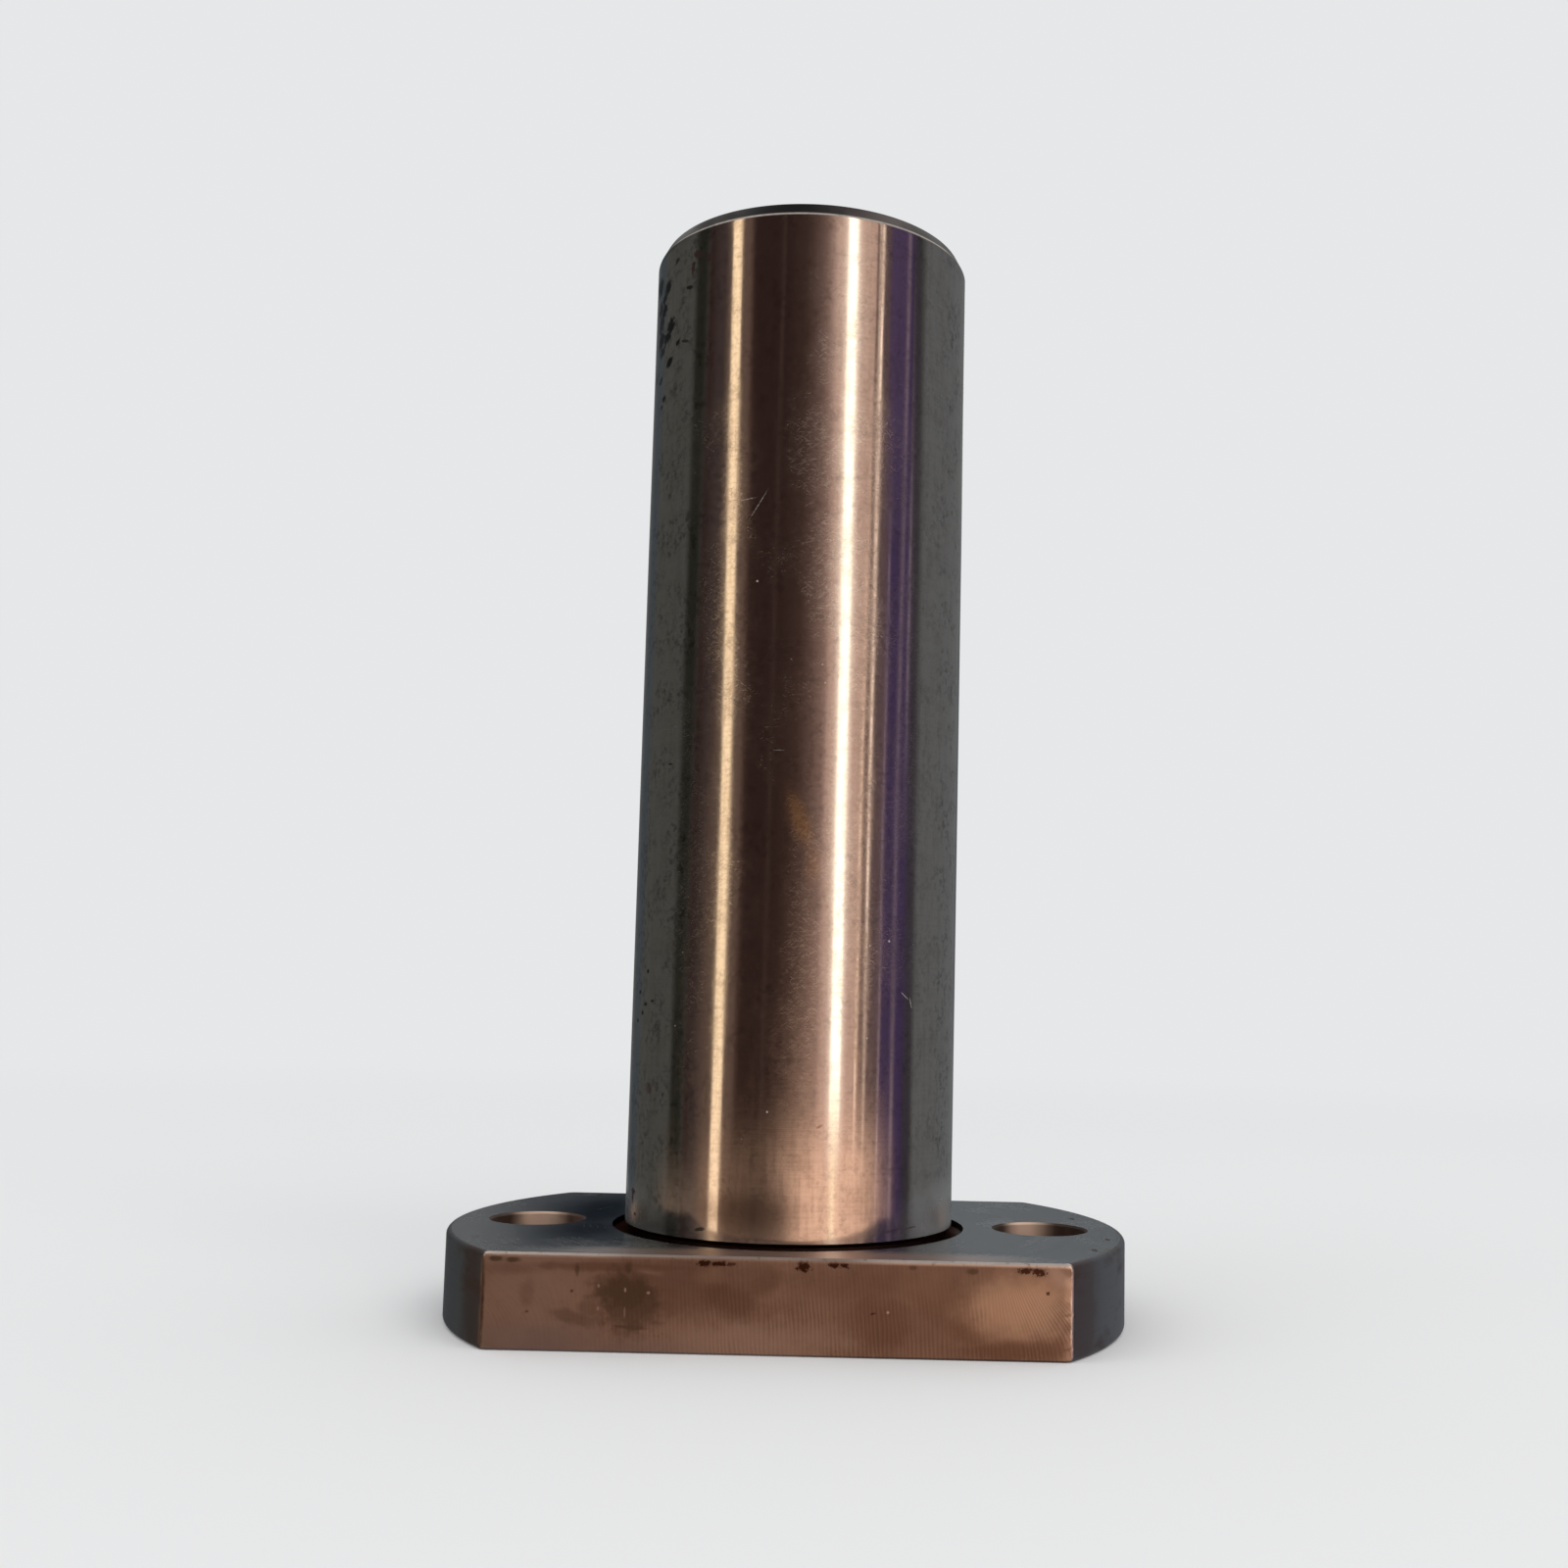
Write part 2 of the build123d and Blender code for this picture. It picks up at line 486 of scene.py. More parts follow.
@dataclass(frozen=True)
class SteelFinish:
    """Bare steel as one kind of cut leaves it, with its film of old oil, and on some surfaces painted light
    and shade.

    Args:
        name: The material's name.
        lay: Which way the cutting marks run.
        clean: The steel's own colour, which the lead-in, the groove and the holes darken as painted shade.
        film: The colour where the oil film is thick.
        roughness: How dull the steel is.
        dulled: How much duller the film makes it.
        filmed: How much of the surface the film covers, from 0 to 1.
        blotch: The size of a blotch of film.
        pitch: The distance between cutting marks.
        mark_depth: How deep the marks are.
        metallic: How much of the surface is bare metal, from 0 to 1.
        edge: How strongly each colour is still reflected at a low angle, where 1 is bright clean metal.
        marks: The marks on it, stains and painted light and shade alike, in the order that they are laid.
        film_tone: How much the film darkens the steel.
        cut_tone: How much the cutting marks darken and lighten it.
        cut_dull: How much they dull and polish it.
    """

    name: str
    lay: Lay
    clean: Colour
    film: Colour
    roughness: float = 0.3
    dulled: float = 0.15
    filmed: float = 0.4
    blotch: float = 6.0
    pitch: float = 0.2
    mark_depth: float = 0.002
    metallic: float = 1.0
    edge: Colour = (1.0, 1.0, 1.0)
    marks: tuple[Marks, ...] = ()
    film_tone: float = 0.85
    cut_tone: float = 0.5
    cut_dull: float = 0.1

    def material(self) -> bpy.types.Material:
        """Builds the material.

        The film is noise in blotches that stretch along the marks. It darkens the steel and dulls it.
        The marks are noise along one direction only, as height for the bump and as fine tone.

        Returns:
            The finished material.
        """
        shader = Shader(self.name)
        along, up, marks, streaked = self.directions(shader)
        cuts = shader.noise(marks, 1.0 / self.pitch, 3.0, 0.6)
        blotches = shader.noise(streaked, 1.0 / self.blotch, 5.0, 0.6)
        lowered = 0.3 * self.filmed
        film = blotches.step(0.62 - lowered, 0.8 - lowered)
        tone = film * self.film_tone + (cuts - 0.5) * self.cut_tone
        colour = shader.mix(tone.held(), self.clean, self.film)
        dull = film * self.dulled + (cuts - 0.5) * self.cut_dull + self.roughness
        colour, dull = shader.marked(along, up, self.marks, colour, dull)
        return shader.surface(
            {
                "Base Color": colour,
                "Metallic": self.metallic,
                "Specular Tint": self.edge,
                "Roughness": dull.most(LEAST_ROUGHNESS),
                "Normal": shader.bump(cuts, self.mark_depth),
            }
        )

    def directions(self, shader: Shader) -> tuple[Term, Term, bpy.types.NodeSocket, bpy.types.NodeSocket]:
        """Finds the surface's own directions.

        Args:
            shader: The shader that reads them.

        Returns:
            The two directions that spots are placed in, the vector that marks are read from, and the
            vector that the film is read from.
        """
        if self.lay is Lay.ROUND:
            marks = shader.scaled(shader.place, RING_SQUEEZE)
            return shader.angle(), shader.z, marks, shader.scaled(shader.place, RING_FILM_SQUEEZE)
        marks = shader.joined(shader.radius(), shader.angle() * TURNED_SQUEEZE)
        return shader.x, shader.y, marks, shader.place


@dataclass(frozen=True)
class GroundFinish:
    """The ground outside of the sleeve: nearly a mirror, under scratches, worn places and an old film.

    Args:
        name: The material's name.
        clean: The steel's own colour.
        film: The colour where the old oil is thickest.
        grime: The colour of the fine dark speckles.
        gloss: The roughness between the scratches.
        haze: How much duller a scratched place is.
        pitch: The height of one grinding line.
        stretch: How much longer than wide a highlight is, from 0 to 1.
        arc: Millimetres of outside for one degree.
        leans: The angles that the scratches lean at, in degrees.
        hairs: How many noise features there are along and across a scratch, in a millimetre.
        worn_top: The heights between which the wear ends at the top.
        worn_foot: The heights between which most of it ends at the foot.
        left_side: The places round the sleeve between which its grimy left side starts.
        right_side: The places between which its grimy right side starts.
        wear: The patches that are scratched most.
        clouds: The patches of film.
        specks: The fine speckles of grime.
        specked: The patches that the speckles keep to.
        runs: The runs of film that hang down.
        cloud_tone: How much the clouds darken the steel.
        run_tone: How much the runs do.
        line_tone: How much the grinding lines darken and lighten it.
        grain_tone: How much its grain does.
        worn_dull: How much a worn place dulls it between the scratches.
        cloud_dull: How much the clouds do.
        run_dull: How much the runs do.
        line_dull: How much the grinding lines dull and polish it.
        speck_depth: How dark the speckles are.
        speck_sides: How much darker they are on the grimy sides.
        dust_cover: How much of the metal the dust hides.
        line_height: How much of the surface's height the grinding lines have.
        grain_height: How much of it the grain has.
        relief: The depth of one unit of height.
    """

    name: str = "ground_outside"
    clean: Colour = (0.57, 0.52, 0.48)
    film: Colour = (0.43, 0.37, 0.325)
    grime: Colour = (0.2, 0.185, 0.17)
    gloss: float = 0.082
    haze: float = 0.24
    pitch: float = 0.26
    stretch: float = 0.55
    arc: float = math.radians(16.0)
    leans: tuple[float, ...] = (4.0, 38.0, -33.0)
    hairs: tuple[float, float] = (0.75, 4.6)
    worn_top: tuple[float, float] = (94.0, 82.0)
    worn_foot: tuple[float, float] = (18.0, 34.0)
    left_side: tuple[float, float] = (-8.0, -11.5)
    right_side: tuple[float, float] = (15.0, 18.0)
    wear: Pattern = Pattern(0.12, 3.0, 0.6, 0.42, 0.66, first=0.25, last=0.8, squeeze=(1.0, 0.55, 1.0))
    clouds: Pattern = Pattern(0.45, 5.0, 0.62, 0.45, 0.72, squeeze=(1.0, 0.8, 1.0))
    specks: Pattern = Pattern(1.5, 4.0, 0.7, 0.44, 0.68)
    specked: Pattern = Pattern(0.3, 2.0, 0.5, 0.36, 0.6)
    runs: Pattern = Pattern(1.5, 3.0, 0.6, 0.4, 0.66, squeeze=(1.0, 0.09, 1.0))
    cloud_tone: float = 0.4
    run_tone: float = 0.3
    line_tone: float = 0.7
    grain_tone: float = 0.8
    worn_dull: float = 0.07
    cloud_dull: float = 0.03
    run_dull: float = 0.035
    line_dull: float = 0.05
    speck_depth: float = 0.35
    speck_sides: float = 0.5
    dust_cover: float = 0.8
    line_height: float = 0.6
    grain_height: float = 0.4
    relief: float = 0.0015

    def fibres(self, shader: Shader, along: Term, up: Term) -> Term:
        """Masks the hair-fine scratches, which run round the sleeve and lean a little either way.

        Args:
            shader: The shader that they are part of.
            along: The distance round the sleeve.
            up: The height.

        Returns:
            1 on a scratch and 0 between them.
        """
        long, short = self.hairs
        strongest = None
        for lean in self.leans:
            level, rise = math.cos(math.radians(lean)), math.sin(math.radians(lean))
            vector = shader.joined((along * level + up * rise) * long, (up * level - along * rise) * short)
            one = shader.noise(vector, 1.3, 3.0, 0.62)
            strongest = one if strongest is None else strongest.most(one)
        return strongest.step(0.5, 0.76)

    def material(self) -> bpy.types.Material:
        """Builds the material.

        Scratches dull the mirror most in the worn places, so a bright reflection frays out there. Fine
        lines follow the grinding, and speckles of film darken the steel in patches.

        Returns:
            The finished material.
        """
        shader = Shader(self.name)
        along, up = shader.angle() * self.arc, shader.z
        here = shader.joined(along, up)
        lines = shader.noise(shader.joined(along * 0.03, up), 1.0 / self.pitch, 2.0, 0.7)
        reach = up.step(*self.worn_top) * up.step(*self.worn_foot, 0.1, 1.0)
        worn = (shader.pattern(here, self.wear) * reach).most(shader.spots(along, up, WORN_PLACES))
        fibres = self.fibres(shader, along, up)
        clouds = shader.pattern(here, self.clouds)
        specks = shader.pattern(shader.place, self.specks) * shader.pattern(here, self.specked)
        runs = shader.pattern(here, self.runs)
        grain = shader.noise(shader.place, 3.2, 2.0, 0.7)
        tone = clouds * self.cloud_tone + runs * self.run_tone + (lines - 0.5) * self.line_tone
        tone = tone + (grain - 0.5) * self.grain_tone
        colour = shader.mix(tone.held(), self.clean, self.film)
        sides = along.step(*self.left_side).most(along.step(*self.right_side))
        colour = shader.mix(specks * (sides * self.speck_sides + self.speck_depth), colour, self.grime)
        dull = fibres * worn * self.haze + worn * self.worn_dull
        dull = dull + clouds * self.cloud_dull + runs * self.run_dull
        dull = dull + self.gloss + (lines - 0.5) * self.line_dull
        # stains and flecks, with painted light and shade at the foot and at the top rounding
        colour, dull = shader.marked(along, up, SLEEVE_STAINS_AND_PAINTED_LIGHT, colour, dull)
        dust = shader.spots(along, up, SLEEVE_DUST)
        height = lines * self.line_height + grain * self.grain_height
        return shader.surface(
            {
                "Base Color": shader.mix(dust, colour, SLEEVE_DUST.colour),
                "Metallic": 1.0 - dust * self.dust_cover,
                "Roughness": dull + dust * SLEEVE_DUST.dull,
                "Normal": shader.bump(height, self.relief),
                "Anisotropic": self.stretch,
                "Anisotropic Rotation": QUARTER_TURN,
            }
        )


@dataclass(frozen=True)
class MilledFinish:
    """The flats on the flange, milled across in fine curved lines, with stains on the front one, and a
    painted highlight and a painted shade at its corners.

    Args:
        name: The material's name.
        clean: The steel's own colour.
        pale: The colour where it is rubbed clean.
        film: The colour under the old film.
        roughness: How dull the flat is.
        pitch: The distance between the milling lines.
        bow: How much the lines are bowed.
        bow_foot: How far below the flange's foot the bow's middle lies.
        lean: How much they lean over near the flat's ends.
        lean_places: The distances from the middle between which the lean starts.
        clear_side: The places along the flat between which the lines grow clear.
        clear_foot: The heights between which they do.
        pale_edge: The heights between which the upper edge starts to be rubbed.
        kept: The patches in which the lines are still clear.
        clouds: The patches of film.
        specks: The fine speckles of grime.
        wander: How far the lines' phase wanders, in radians.
        wave_height: How high the lines are where they are clear.
        ragged_height: How high the uneven cuts between them are.
        cloud_tone: How much the clouds darken the steel.
        speck_tone: How much the speckles do.
        cut_tone: How much the cuts darken and lighten it.
        cloud_dull: How much the clouds dull it.
        cut_dull: How much the cuts dull and polish it.
        cut_depth: How deep the cuts are.
    """

    name: str = "flat_milled"
    clean: Colour = (0.53, 0.395, 0.33)
    pale: Colour = (0.95, 0.84, 0.78)
    film: Colour = (0.3, 0.195, 0.145)
    roughness: float = 0.33
    pitch: float = 0.363
    bow: float = 0.006
    bow_foot: float = 4.0
    lean: float = 0.09
    lean_places: tuple[float, float] = (17.5, 24.5)
    clear_side: tuple[float, float] = (-16.0, -4.0)
    clear_foot: tuple[float, float] = (7.2, 3.4)
    pale_edge: tuple[float, float] = (7.8, 8.12)
    kept: Pattern = Pattern(0.25, 2.0, 0.5, 0.35, 0.6, first=0.45)
    clouds: Pattern = Pattern(0.22, 5.0, 0.62, 0.4, 0.72, squeeze=(0.8, 1.0, 1.2))
    specks: Pattern = Pattern(1.6, 4.0, 0.65, 0.52, 0.72)
    wander: float = 16.0
    wave_height: float = 0.75
    ragged_height: float = 0.55
    cloud_tone: float = 0.4
    speck_tone: float = 0.3
    cut_tone: float = 0.85
    cloud_dull: float = 0.08
    cut_dull: float = 0.14
    cut_depth: float = 0.006

    def material(self) -> bpy.types.Material:
        """Builds the material.

        A milling line is where x + bow (z + bow_foot)^2 is constant, and near the end it leans over by
        a further lean z^2, as the cutter leaves it.

        Returns:
            The finished material.
        """
        shader = Shader(self.name)
        along, up = shader.x, shader.z
        leaving = along.size().step(*self.lean_places) * up * up * self.lean
        bow = (up + self.bow_foot) * (up + self.bow_foot) * self.bow + leaving
        place = along + bow
        uneven = shader.noise(shader.joined(place * 0.3, up * 0.1), 1.0, 2.0, 0.6)
        turns = place * (2.0 * math.pi / self.pitch) + uneven * self.wander
        wave = turns.math("SINE", turns) * 0.5 + 0.5
        ragged = shader.noise(shader.joined(place, up * 0.06), 1.0 / self.pitch, 2.0, 0.6)
        clear = along.step(*self.clear_side, 0.3, 1.0) * up.step(*self.clear_foot, 0.4, 1.0)
        clear = clear * shader.pattern(shader.place, self.kept)
        cuts = (wave - 0.5) * self.wave_height * clear + (ragged - 0.5) * self.ragged_height + 0.5
        front = shader.y.step(1.0, -1.0)
        clouds = shader.pattern(shader.place, self.clouds)
        specks = shader.pattern(shader.place, self.specks)
        tone = clouds * self.cloud_tone + specks * self.speck_tone + (cuts - 0.4) * self.cut_tone
        colour = shader.mix(tone.held(), self.clean, self.film)
        dull = clouds * self.cloud_dull + self.roughness
        # stains, with a painted highlight at the right corner and painted shade at the left
        colour, dull = shader.marked(along, up, FLAT_STAINS_AND_PAINTED_LIGHT, colour, dull, front)
        rubbed = up.step(*self.pale_edge) * specks.step(0.0, 0.9, 1.0, 0.4)
        ends = along.step(5.0, 11.0, 0.3, 1.0).most(along.step(-12.0, -16.0, 0.3, 0.8))
        colour = shader.mix(rubbed * ends, colour, self.pale)
        return shader.surface(
            {
                "Base Color": colour,
                "Metallic": 1.0,
                "Roughness": dull + (cuts - 0.5) * self.cut_dull,
                "Normal": shader.bump(cuts, self.cut_depth),
            }
        )


@dataclass(frozen=True)
class BallFinish:
    """Polished ball steel with a thin film of grease.

    Args:
        name: The material's name.
        colour: The steel's own colour.
        greased: Its colour under the grease.
        roughness: How dull the steel is.
        grease: The patches of grease.
        grease_dull: How much the grease dulls the steel.
    """

    name: str = "ball_steel_polished"
    colour: Colour = (0.78, 0.77, 0.75)
    greased: Colour = (0.6, 0.56, 0.48)
    roughness: float = 0.07
    grease: Pattern = Pattern(0.8, 3.0, 0.55, 0.45, 0.7)
    grease_dull: float = 0.12

    def material(self) -> bpy.types.Material:
        """Builds the material: soft noise decides where the grease tints and dulls the balls.

        Returns:
            The finished material.
        """
        shader = Shader(self.name)
        grease = shader.pattern(shader.place, self.grease)
        return shader.surface(
            {
                "Base Color": shader.mix(grease, self.colour, self.greased),
                "Metallic": 1.0,
                "Roughness": grease * self.grease_dull + self.roughness,
            }
        )


@dataclass(frozen=True)
class MouldedFinish:
    """Moulded resin or rubber.

    Args:
        name: The material's name.
        colour: Its own colour.
        worn: Its colour where it is rubbed or dusty.
        roughness: How dull it is.
        grain: The size of its moulded grain.
        grain_depth: How deep the grain is.
        rubbed: The patches that are rubbed.
        shine: How much smoother it is there.
        grain_dull: How much the grain dulls and polishes it.
    """

    name: str
    colour: Colour
    worn: Colour
    roughness: float
    grain: float
    grain_depth: float
    rubbed: Pattern = Pattern(0.35, 4.0, 0.6, 0.5, 0.75)
    shine: float = 0.12
    grain_dull: float = 0.1

    def material(self) -> bpy.types.Material:
        """Builds the material: fine noise is the moulded grain, and wide noise is where it is rubbed.

        Returns:
            The finished material.
        """
        shader = Shader(self.name)
        grain = shader.noise(shader.place, 1.0 / self.grain, 2.0, 0.6)
        rubbed = shader.pattern(shader.place, self.rubbed)
        return shader.surface(
            {
                "Base Color": shader.mix(rubbed, self.colour, self.worn),
                "Roughness": self.roughness - rubbed * self.shine + (grain - 0.5) * self.grain_dull,
                "Normal": shader.bump(grain, self.grain_depth),
            }
        )


# meshes


def new_object(name: str, data: bpy.types.ID) -> bpy.types.Object:
    """Makes an object and links it to the scene.

    Args:
        name: The object's name.
        data: Its mesh, lamp or camera.

    Returns:
        The object.
    """
    piece = bpy.data.objects.new(name, data)
    bpy.context.scene.collection.objects.link(piece)
    return piece


@dataclass
class Skin:
    """Grids of points that weld into one closed skin.

    Args:
        grids: Each grid with the finish of its faces.
    """

    grids: list[tuple[np.ndarray, Region]] = field(default_factory=list)

    def add(self, grid: np.ndarray, region: Region) -> None:
        """Adds a grid of points, rows by columns by three, with the finish of its faces."""
        self.grids.append((grid, region))

    @staticmethod
    def corners(rows: int, columns: int) -> np.ndarray:
        """Numbers the corners of a grid's quads, where its points are counted row by row.

        Args:
            rows: How many rows of points it has.
            columns: How many points a row has.

        Returns:
            The four corner numbers of every quad.
        """
        first = np.arange(rows - 1)[:, None] * columns + np.arange(columns - 1)[None, :]
        quads = np.stack([first, first + 1, first + columns + 1, first + columns], axis=-1)
        return quads.reshape(-1, 4)

    def build(self, name: str) -> bpy.types.Object:
        """Welds the grids and writes the object.

        Points that agree to a hundred-thousandth of a millimetre become one. A quad that has lost a
        corner becomes a triangle, and one that has lost two is dropped.

        Args:
            name: The object's name.

        Returns:
            The object, in metres.
        """
        points = np.concatenate([grid.reshape(-1, 3) for grid, _ in self.grids])
        starts = np.cumsum([0] + [grid.shape[0] * grid.shape[1] for grid, _ in self.grids[:-1]])
        quads = [self.corners(*grid.shape[:2]) + start for (grid, _), start in zip(self.grids, starts)]
        slots = np.concatenate([np.full(len(q), region.value) for q, (_, region) in zip(quads, self.grids)])
        keys = np.round(points * WELD_STEPS).astype(np.int64)
        _, first, welded = np.unique(keys, axis=0, return_index=True, return_inverse=True)
        quads = welded.reshape(-1)[np.concatenate(quads)]
        same = quads == np.roll(quads, -1, axis=1)
        whole = ~same.any(axis=1)
        short = same.sum(axis=1) == 1
        order = (np.argmax(same[short], axis=1)[:, None] + np.array([1, 2, 3])) % 4
        triangles = np.take_along_axis(quads[short], order, axis=1)
        loops = np.concatenate([quads[whole].reshape(-1), triangles.reshape(-1)])
        sizes = np.concatenate([np.full(whole.sum(), 4), np.full(len(triangles), 3)])
        mesh = bpy.data.meshes.new(name)
        mesh.vertices.add(len(first))
        mesh.vertices.foreach_set("co", (points[first] * MM).astype(np.float32).reshape(-1))
        mesh.loops.add(len(loops))
        mesh.loops.foreach_set("vertex_index", loops.astype(np.int32))
        mesh.polygons.add(len(sizes))
        mesh.polygons.foreach_set("loop_start", (np.cumsum(sizes) - sizes).astype(np.int32))
        mesh.polygons.foreach_set("material_index", np.concatenate([slots[whole], slots[short]]))
        mesh.update(calc_edges=True)
        mesh.validate()
        return self.smoothed(mesh, name)

    @staticmethod
    def smoothed(mesh: bpy.types.Mesh, name: str) -> bpy.types.Object:
        """Turns the faces outwards and smooths all edges but those sharper than SHARP_ANGLE.

        Args:
            mesh: The welded mesh.
            name: The object's name.

        Returns:
            The object, linked to the scene.
        """
        work = bmesh.new()
        work.from_mesh(mesh)
        bmesh.ops.recalc_face_normals(work, faces=work.faces)
        work.to_mesh(mesh)
        work.free()
        mesh.polygons.foreach_set("use_smooth", np.ones(len(mesh.polygons), bool))
        mesh.set_sharp_from_angle(angle=math.radians(SHARP_ANGLE))
        return new_object(name, mesh)


@dataclass
class FlangedSleeve:
    """The sleeve and its flange, turned from one bar.

    Every surface but the faces round the bolt holes is a radius that depends on the angle and the
    row: each row is a height with a circle, a scalloped circle or the flange's outline.

    Args:
        sleeve_r: The sleeve's outside radius.
        length: The length over all.
        lead_in_length: How far down the lead-in reaches.
        lead_in_depth: How far in it reaches.
        edge_rounding: How far from each edge of the lead-in its rounding starts.
        flange_t: The flange's thickness.
        flange_r: The rim's radius.
        flat_reach: The flats' distance from the axis.
        rim_rounding: The radius between the rim and a face.
        rim_turns: The angles of that rounding's rows, in degrees, from the face to the rim.
        flat_break: How far the flats' edges are broken. The fifth of the rim's turns is at its height.
        face_inset: The width of a face's outermost band.
        corner_turn: The column that a corner between rim and flat is on, in degrees.
        corner_gap: How far away the columns beside it are, in degrees.
        corner_bevel: How far a corner's bevel reaches on either side.
        burrs: For each corner, 1 for a sharp corner, 0 for a flat bevel.
        burr_even: The share of that which is the same at every height.
        burr_uneven: The share that changes from height to height.
        burr_seed: The seed of that change.
        hole_x: The bolt holes' distance from the axis.
        hole_r: Their radius.
        hole_break: How far their edges are broken.
        hole_sector: Half the sector of a face that belongs to a hole, in degrees.
        hole_spread: The places of its rows, from 0 at the hole to 1 at the sector's border.
        relief_outer_r: The outer radius of the groove at the sleeve's root.
        relief_root_r: Its inner radius.
        relief_depth: Its depth in the flange.
        relief_lip: How far above the flange the sleeve's full radius starts.
        seat_r: The radius of the bore at both ends.
        mouth_break: How far the mouths' edges are broken.
        ring_groove_r: The radius of the grooves for the retaining rings.
        ring_groove: The distances of such a groove's sides from the sleeve's end.
        raceway_r: The radius of the raceway.
        turn_relief_r: The radius of the reliefs in which the balls turn round.
        turn_relief_w: Their length.
        channel_r: The radius of a return channel.
        return_row_r: The distance of a return row from the axis.
        return_row_turn: The angle of the first one, in degrees.
        circuits: How many of them there are round the bore.
        row_length: The length of a row.
        row_mids: The heights of the middles of the two sets of rows.
        ground_rows: How many rows of points the ground outside has.
        rim_rows: How many the rim has from one rounding to the other.
        face_rows: How many a face has from the groove to its outermost band.
    """

    # sleeve and lead-in
    sleeve_r: float = 16.0
    length: float = 106.0
    lead_in_length: float = 1.3
    lead_in_depth: float = 0.7
    edge_rounding: float = 0.14

    # flange
    flange_t: float = 8.3
    flange_r: float = 32.75
    flat_reach: float = 20.65
    rim_rounding: float = 0.5
    rim_turns: tuple[float, ...] = (90.0, 78.0, 66.0, 53.0, 36.87, 24.0, 12.0, 0.0)
    flat_break: float = 0.2
    face_inset: float = 0.35

    # corners between rim and flats
    corner_turn: float = 39.0
    corner_gap: float = 0.25
    corner_bevel: float = 0.2
    burrs: tuple[float, ...] = (0.5, 0.35, 0.4, 1.0)
    burr_even: float = 0.5
    burr_uneven: float = 0.6
    burr_seed: int = 11

    # bolt holes
    hole_x: float = 24.75
    hole_r: float = 4.5
    hole_break: float = 0.2
    hole_sector: float = 16.0
    hole_spread: tuple[float, ...] = (0.0, 0.06, 0.5, 1.0)

    # relief groove at the sleeve's root
    relief_outer_r: float = 17.2
    relief_root_r: float = 15.5
    relief_depth: float = 0.6
    relief_lip: float = 0.4

    # inside, from the mouths to the return channels
    seat_r: float = 13.368
    mouth_break: float = 0.3
    ring_groove_r: float = 14.168
    ring_groove: tuple[float, float] = (3.2, 4.4)
    raceway_r: float = 12.818
    turn_relief_r: float = 14.203
    turn_relief_w: float = 4.3168
    channel_r: float = 1.469
    return_row_r: float = 12.7338
    return_row_turn: float = 26.572
    circuits: int = 5
    row_length: float = 35.7887
    row_mids: tuple[float, float] = (28.725, 77.275)

    # rows of the mesh
    ground_rows: int = 40
    rim_rows: int = 34
    face_rows: int = 26

    def build(self) -> bpy.types.Object:
        """Builds the whole piece.

        Returns:
            The flanged sleeve, riding on the bearing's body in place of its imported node.
        """
        self.turns = self.columns()
        skin = Skin()
        self.add_outside(skin)
        self.add_bore(skin)
        self.add_rim(skin)
        for height, region in ((self.flange_t, Region.FLANGE_TOP), (0.0, Region.UNDERSIDE)):
            self.add_face(skin, height, region)
        piece = skin.build("flanged_sleeve_finished")
        for finish in sleeve_finishes():
            piece.data.materials.append(finish.material())
        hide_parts("flanged_sleeve")
        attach(piece, "bearing_body")
        return piece

    def columns(self) -> np.ndarray:
        """Places the columns: one a degree, and a close pair beside each of the flats' corners.

        Returns:
            The columns' angles, in degrees.
        """
        turn, gap = self.corner_turn, self.corner_gap
        corners = np.array([turn, 180.0 - turn, 180.0 + turn, 360.0 - turn])
        return np.sort(np.concatenate([np.arange(361.0), corners - gap, corners + gap]))

    def circle(self, radius: float | np.ndarray, height: float) -> np.ndarray:
        """A row of points, one in each column, at radius (cos t, sin t) for the column's angle t.

        Args:
            radius: The row's radius, or one for each column.
            height: The row's height.

        Returns:
            The row of points.
        """
        angle = np.radians(self.turns)
        level = np.full(angle.shape, height)
        row = np.stack([radius * np.cos(angle), radius * np.sin(angle), level], axis=-1)
        row[-1] = row[0]
        return row

    def outline(self, radius: float, reach: float, height: float, burr: np.ndarray) -> np.ndarray:
        """A row of the flange's outline: a circle cut by two flats, with bevelled corners.

        In the first quarter the column's angle t becomes the outline's angle by straight steps from 0
        to the corner and from the corner to 90 degrees. The point is at the circle's radius before the
        corner and at reach / sin(angle) past it. The other quarters mirror the first.

        Args:
            radius: The circle's radius.
            reach: The flats' distance from the axis.
            height: The row's height.
            burr: For each corner, 1 for a sharp corner, 0 for a flat bevel, more for a burr.

        Returns:
            The row of points.
        """
        across, back = np.cos(np.radians(self.turns)), np.sin(np.radians(self.turns))
        folded = np.degrees(np.arctan2(np.abs(back), np.abs(across)))
        turn, gap, bevel = self.corner_turn, self.corner_gap, self.corner_bevel
        corner = math.asin(reach / radius)
        corner_x = radius * math.cos(corner)
        before = corner - bevel / radius
        after = math.atan2(reach, corner_x - bevel)
        angle = np.interp(folded, [0.0, turn - gap, turn + gap, 90.0], [0.0, before, after, math.pi / 2])
        distance = np.where(folded < turn, radius, reach / np.sin(np.maximum(angle, 0.1)))
        x, y = distance * np.cos(angle), distance * np.sin(angle)
        quarter = np.floor(self.turns / 90.0).astype(int) % 4
        share = burr[quarter]
        ends = np.array([[radius * math.cos(before), radius * math.sin(before)], [corner_x - bevel, reach]])
        middle = ends.mean(axis=0)
        at_corner = np.abs(folded - turn) < 1e-6
        x = np.where(at_corner, middle[0] + share * (corner_x - middle[0]), x)
        y = np.where(at_corner, middle[1] + share * (reach - middle[1]), y)
        row = np.stack([x * np.sign(across), y * np.sign(back), np.full(x.shape, height)], axis=-1)
        row[-1] = row[0]
        return row

    def revolved(self, profile: Profile) -> np.ndarray:
        """Returns the surface that a profile of radii and heights makes as it turns round the axis."""
        return np.stack([self.circle(radius, height) for radius, height in profile])

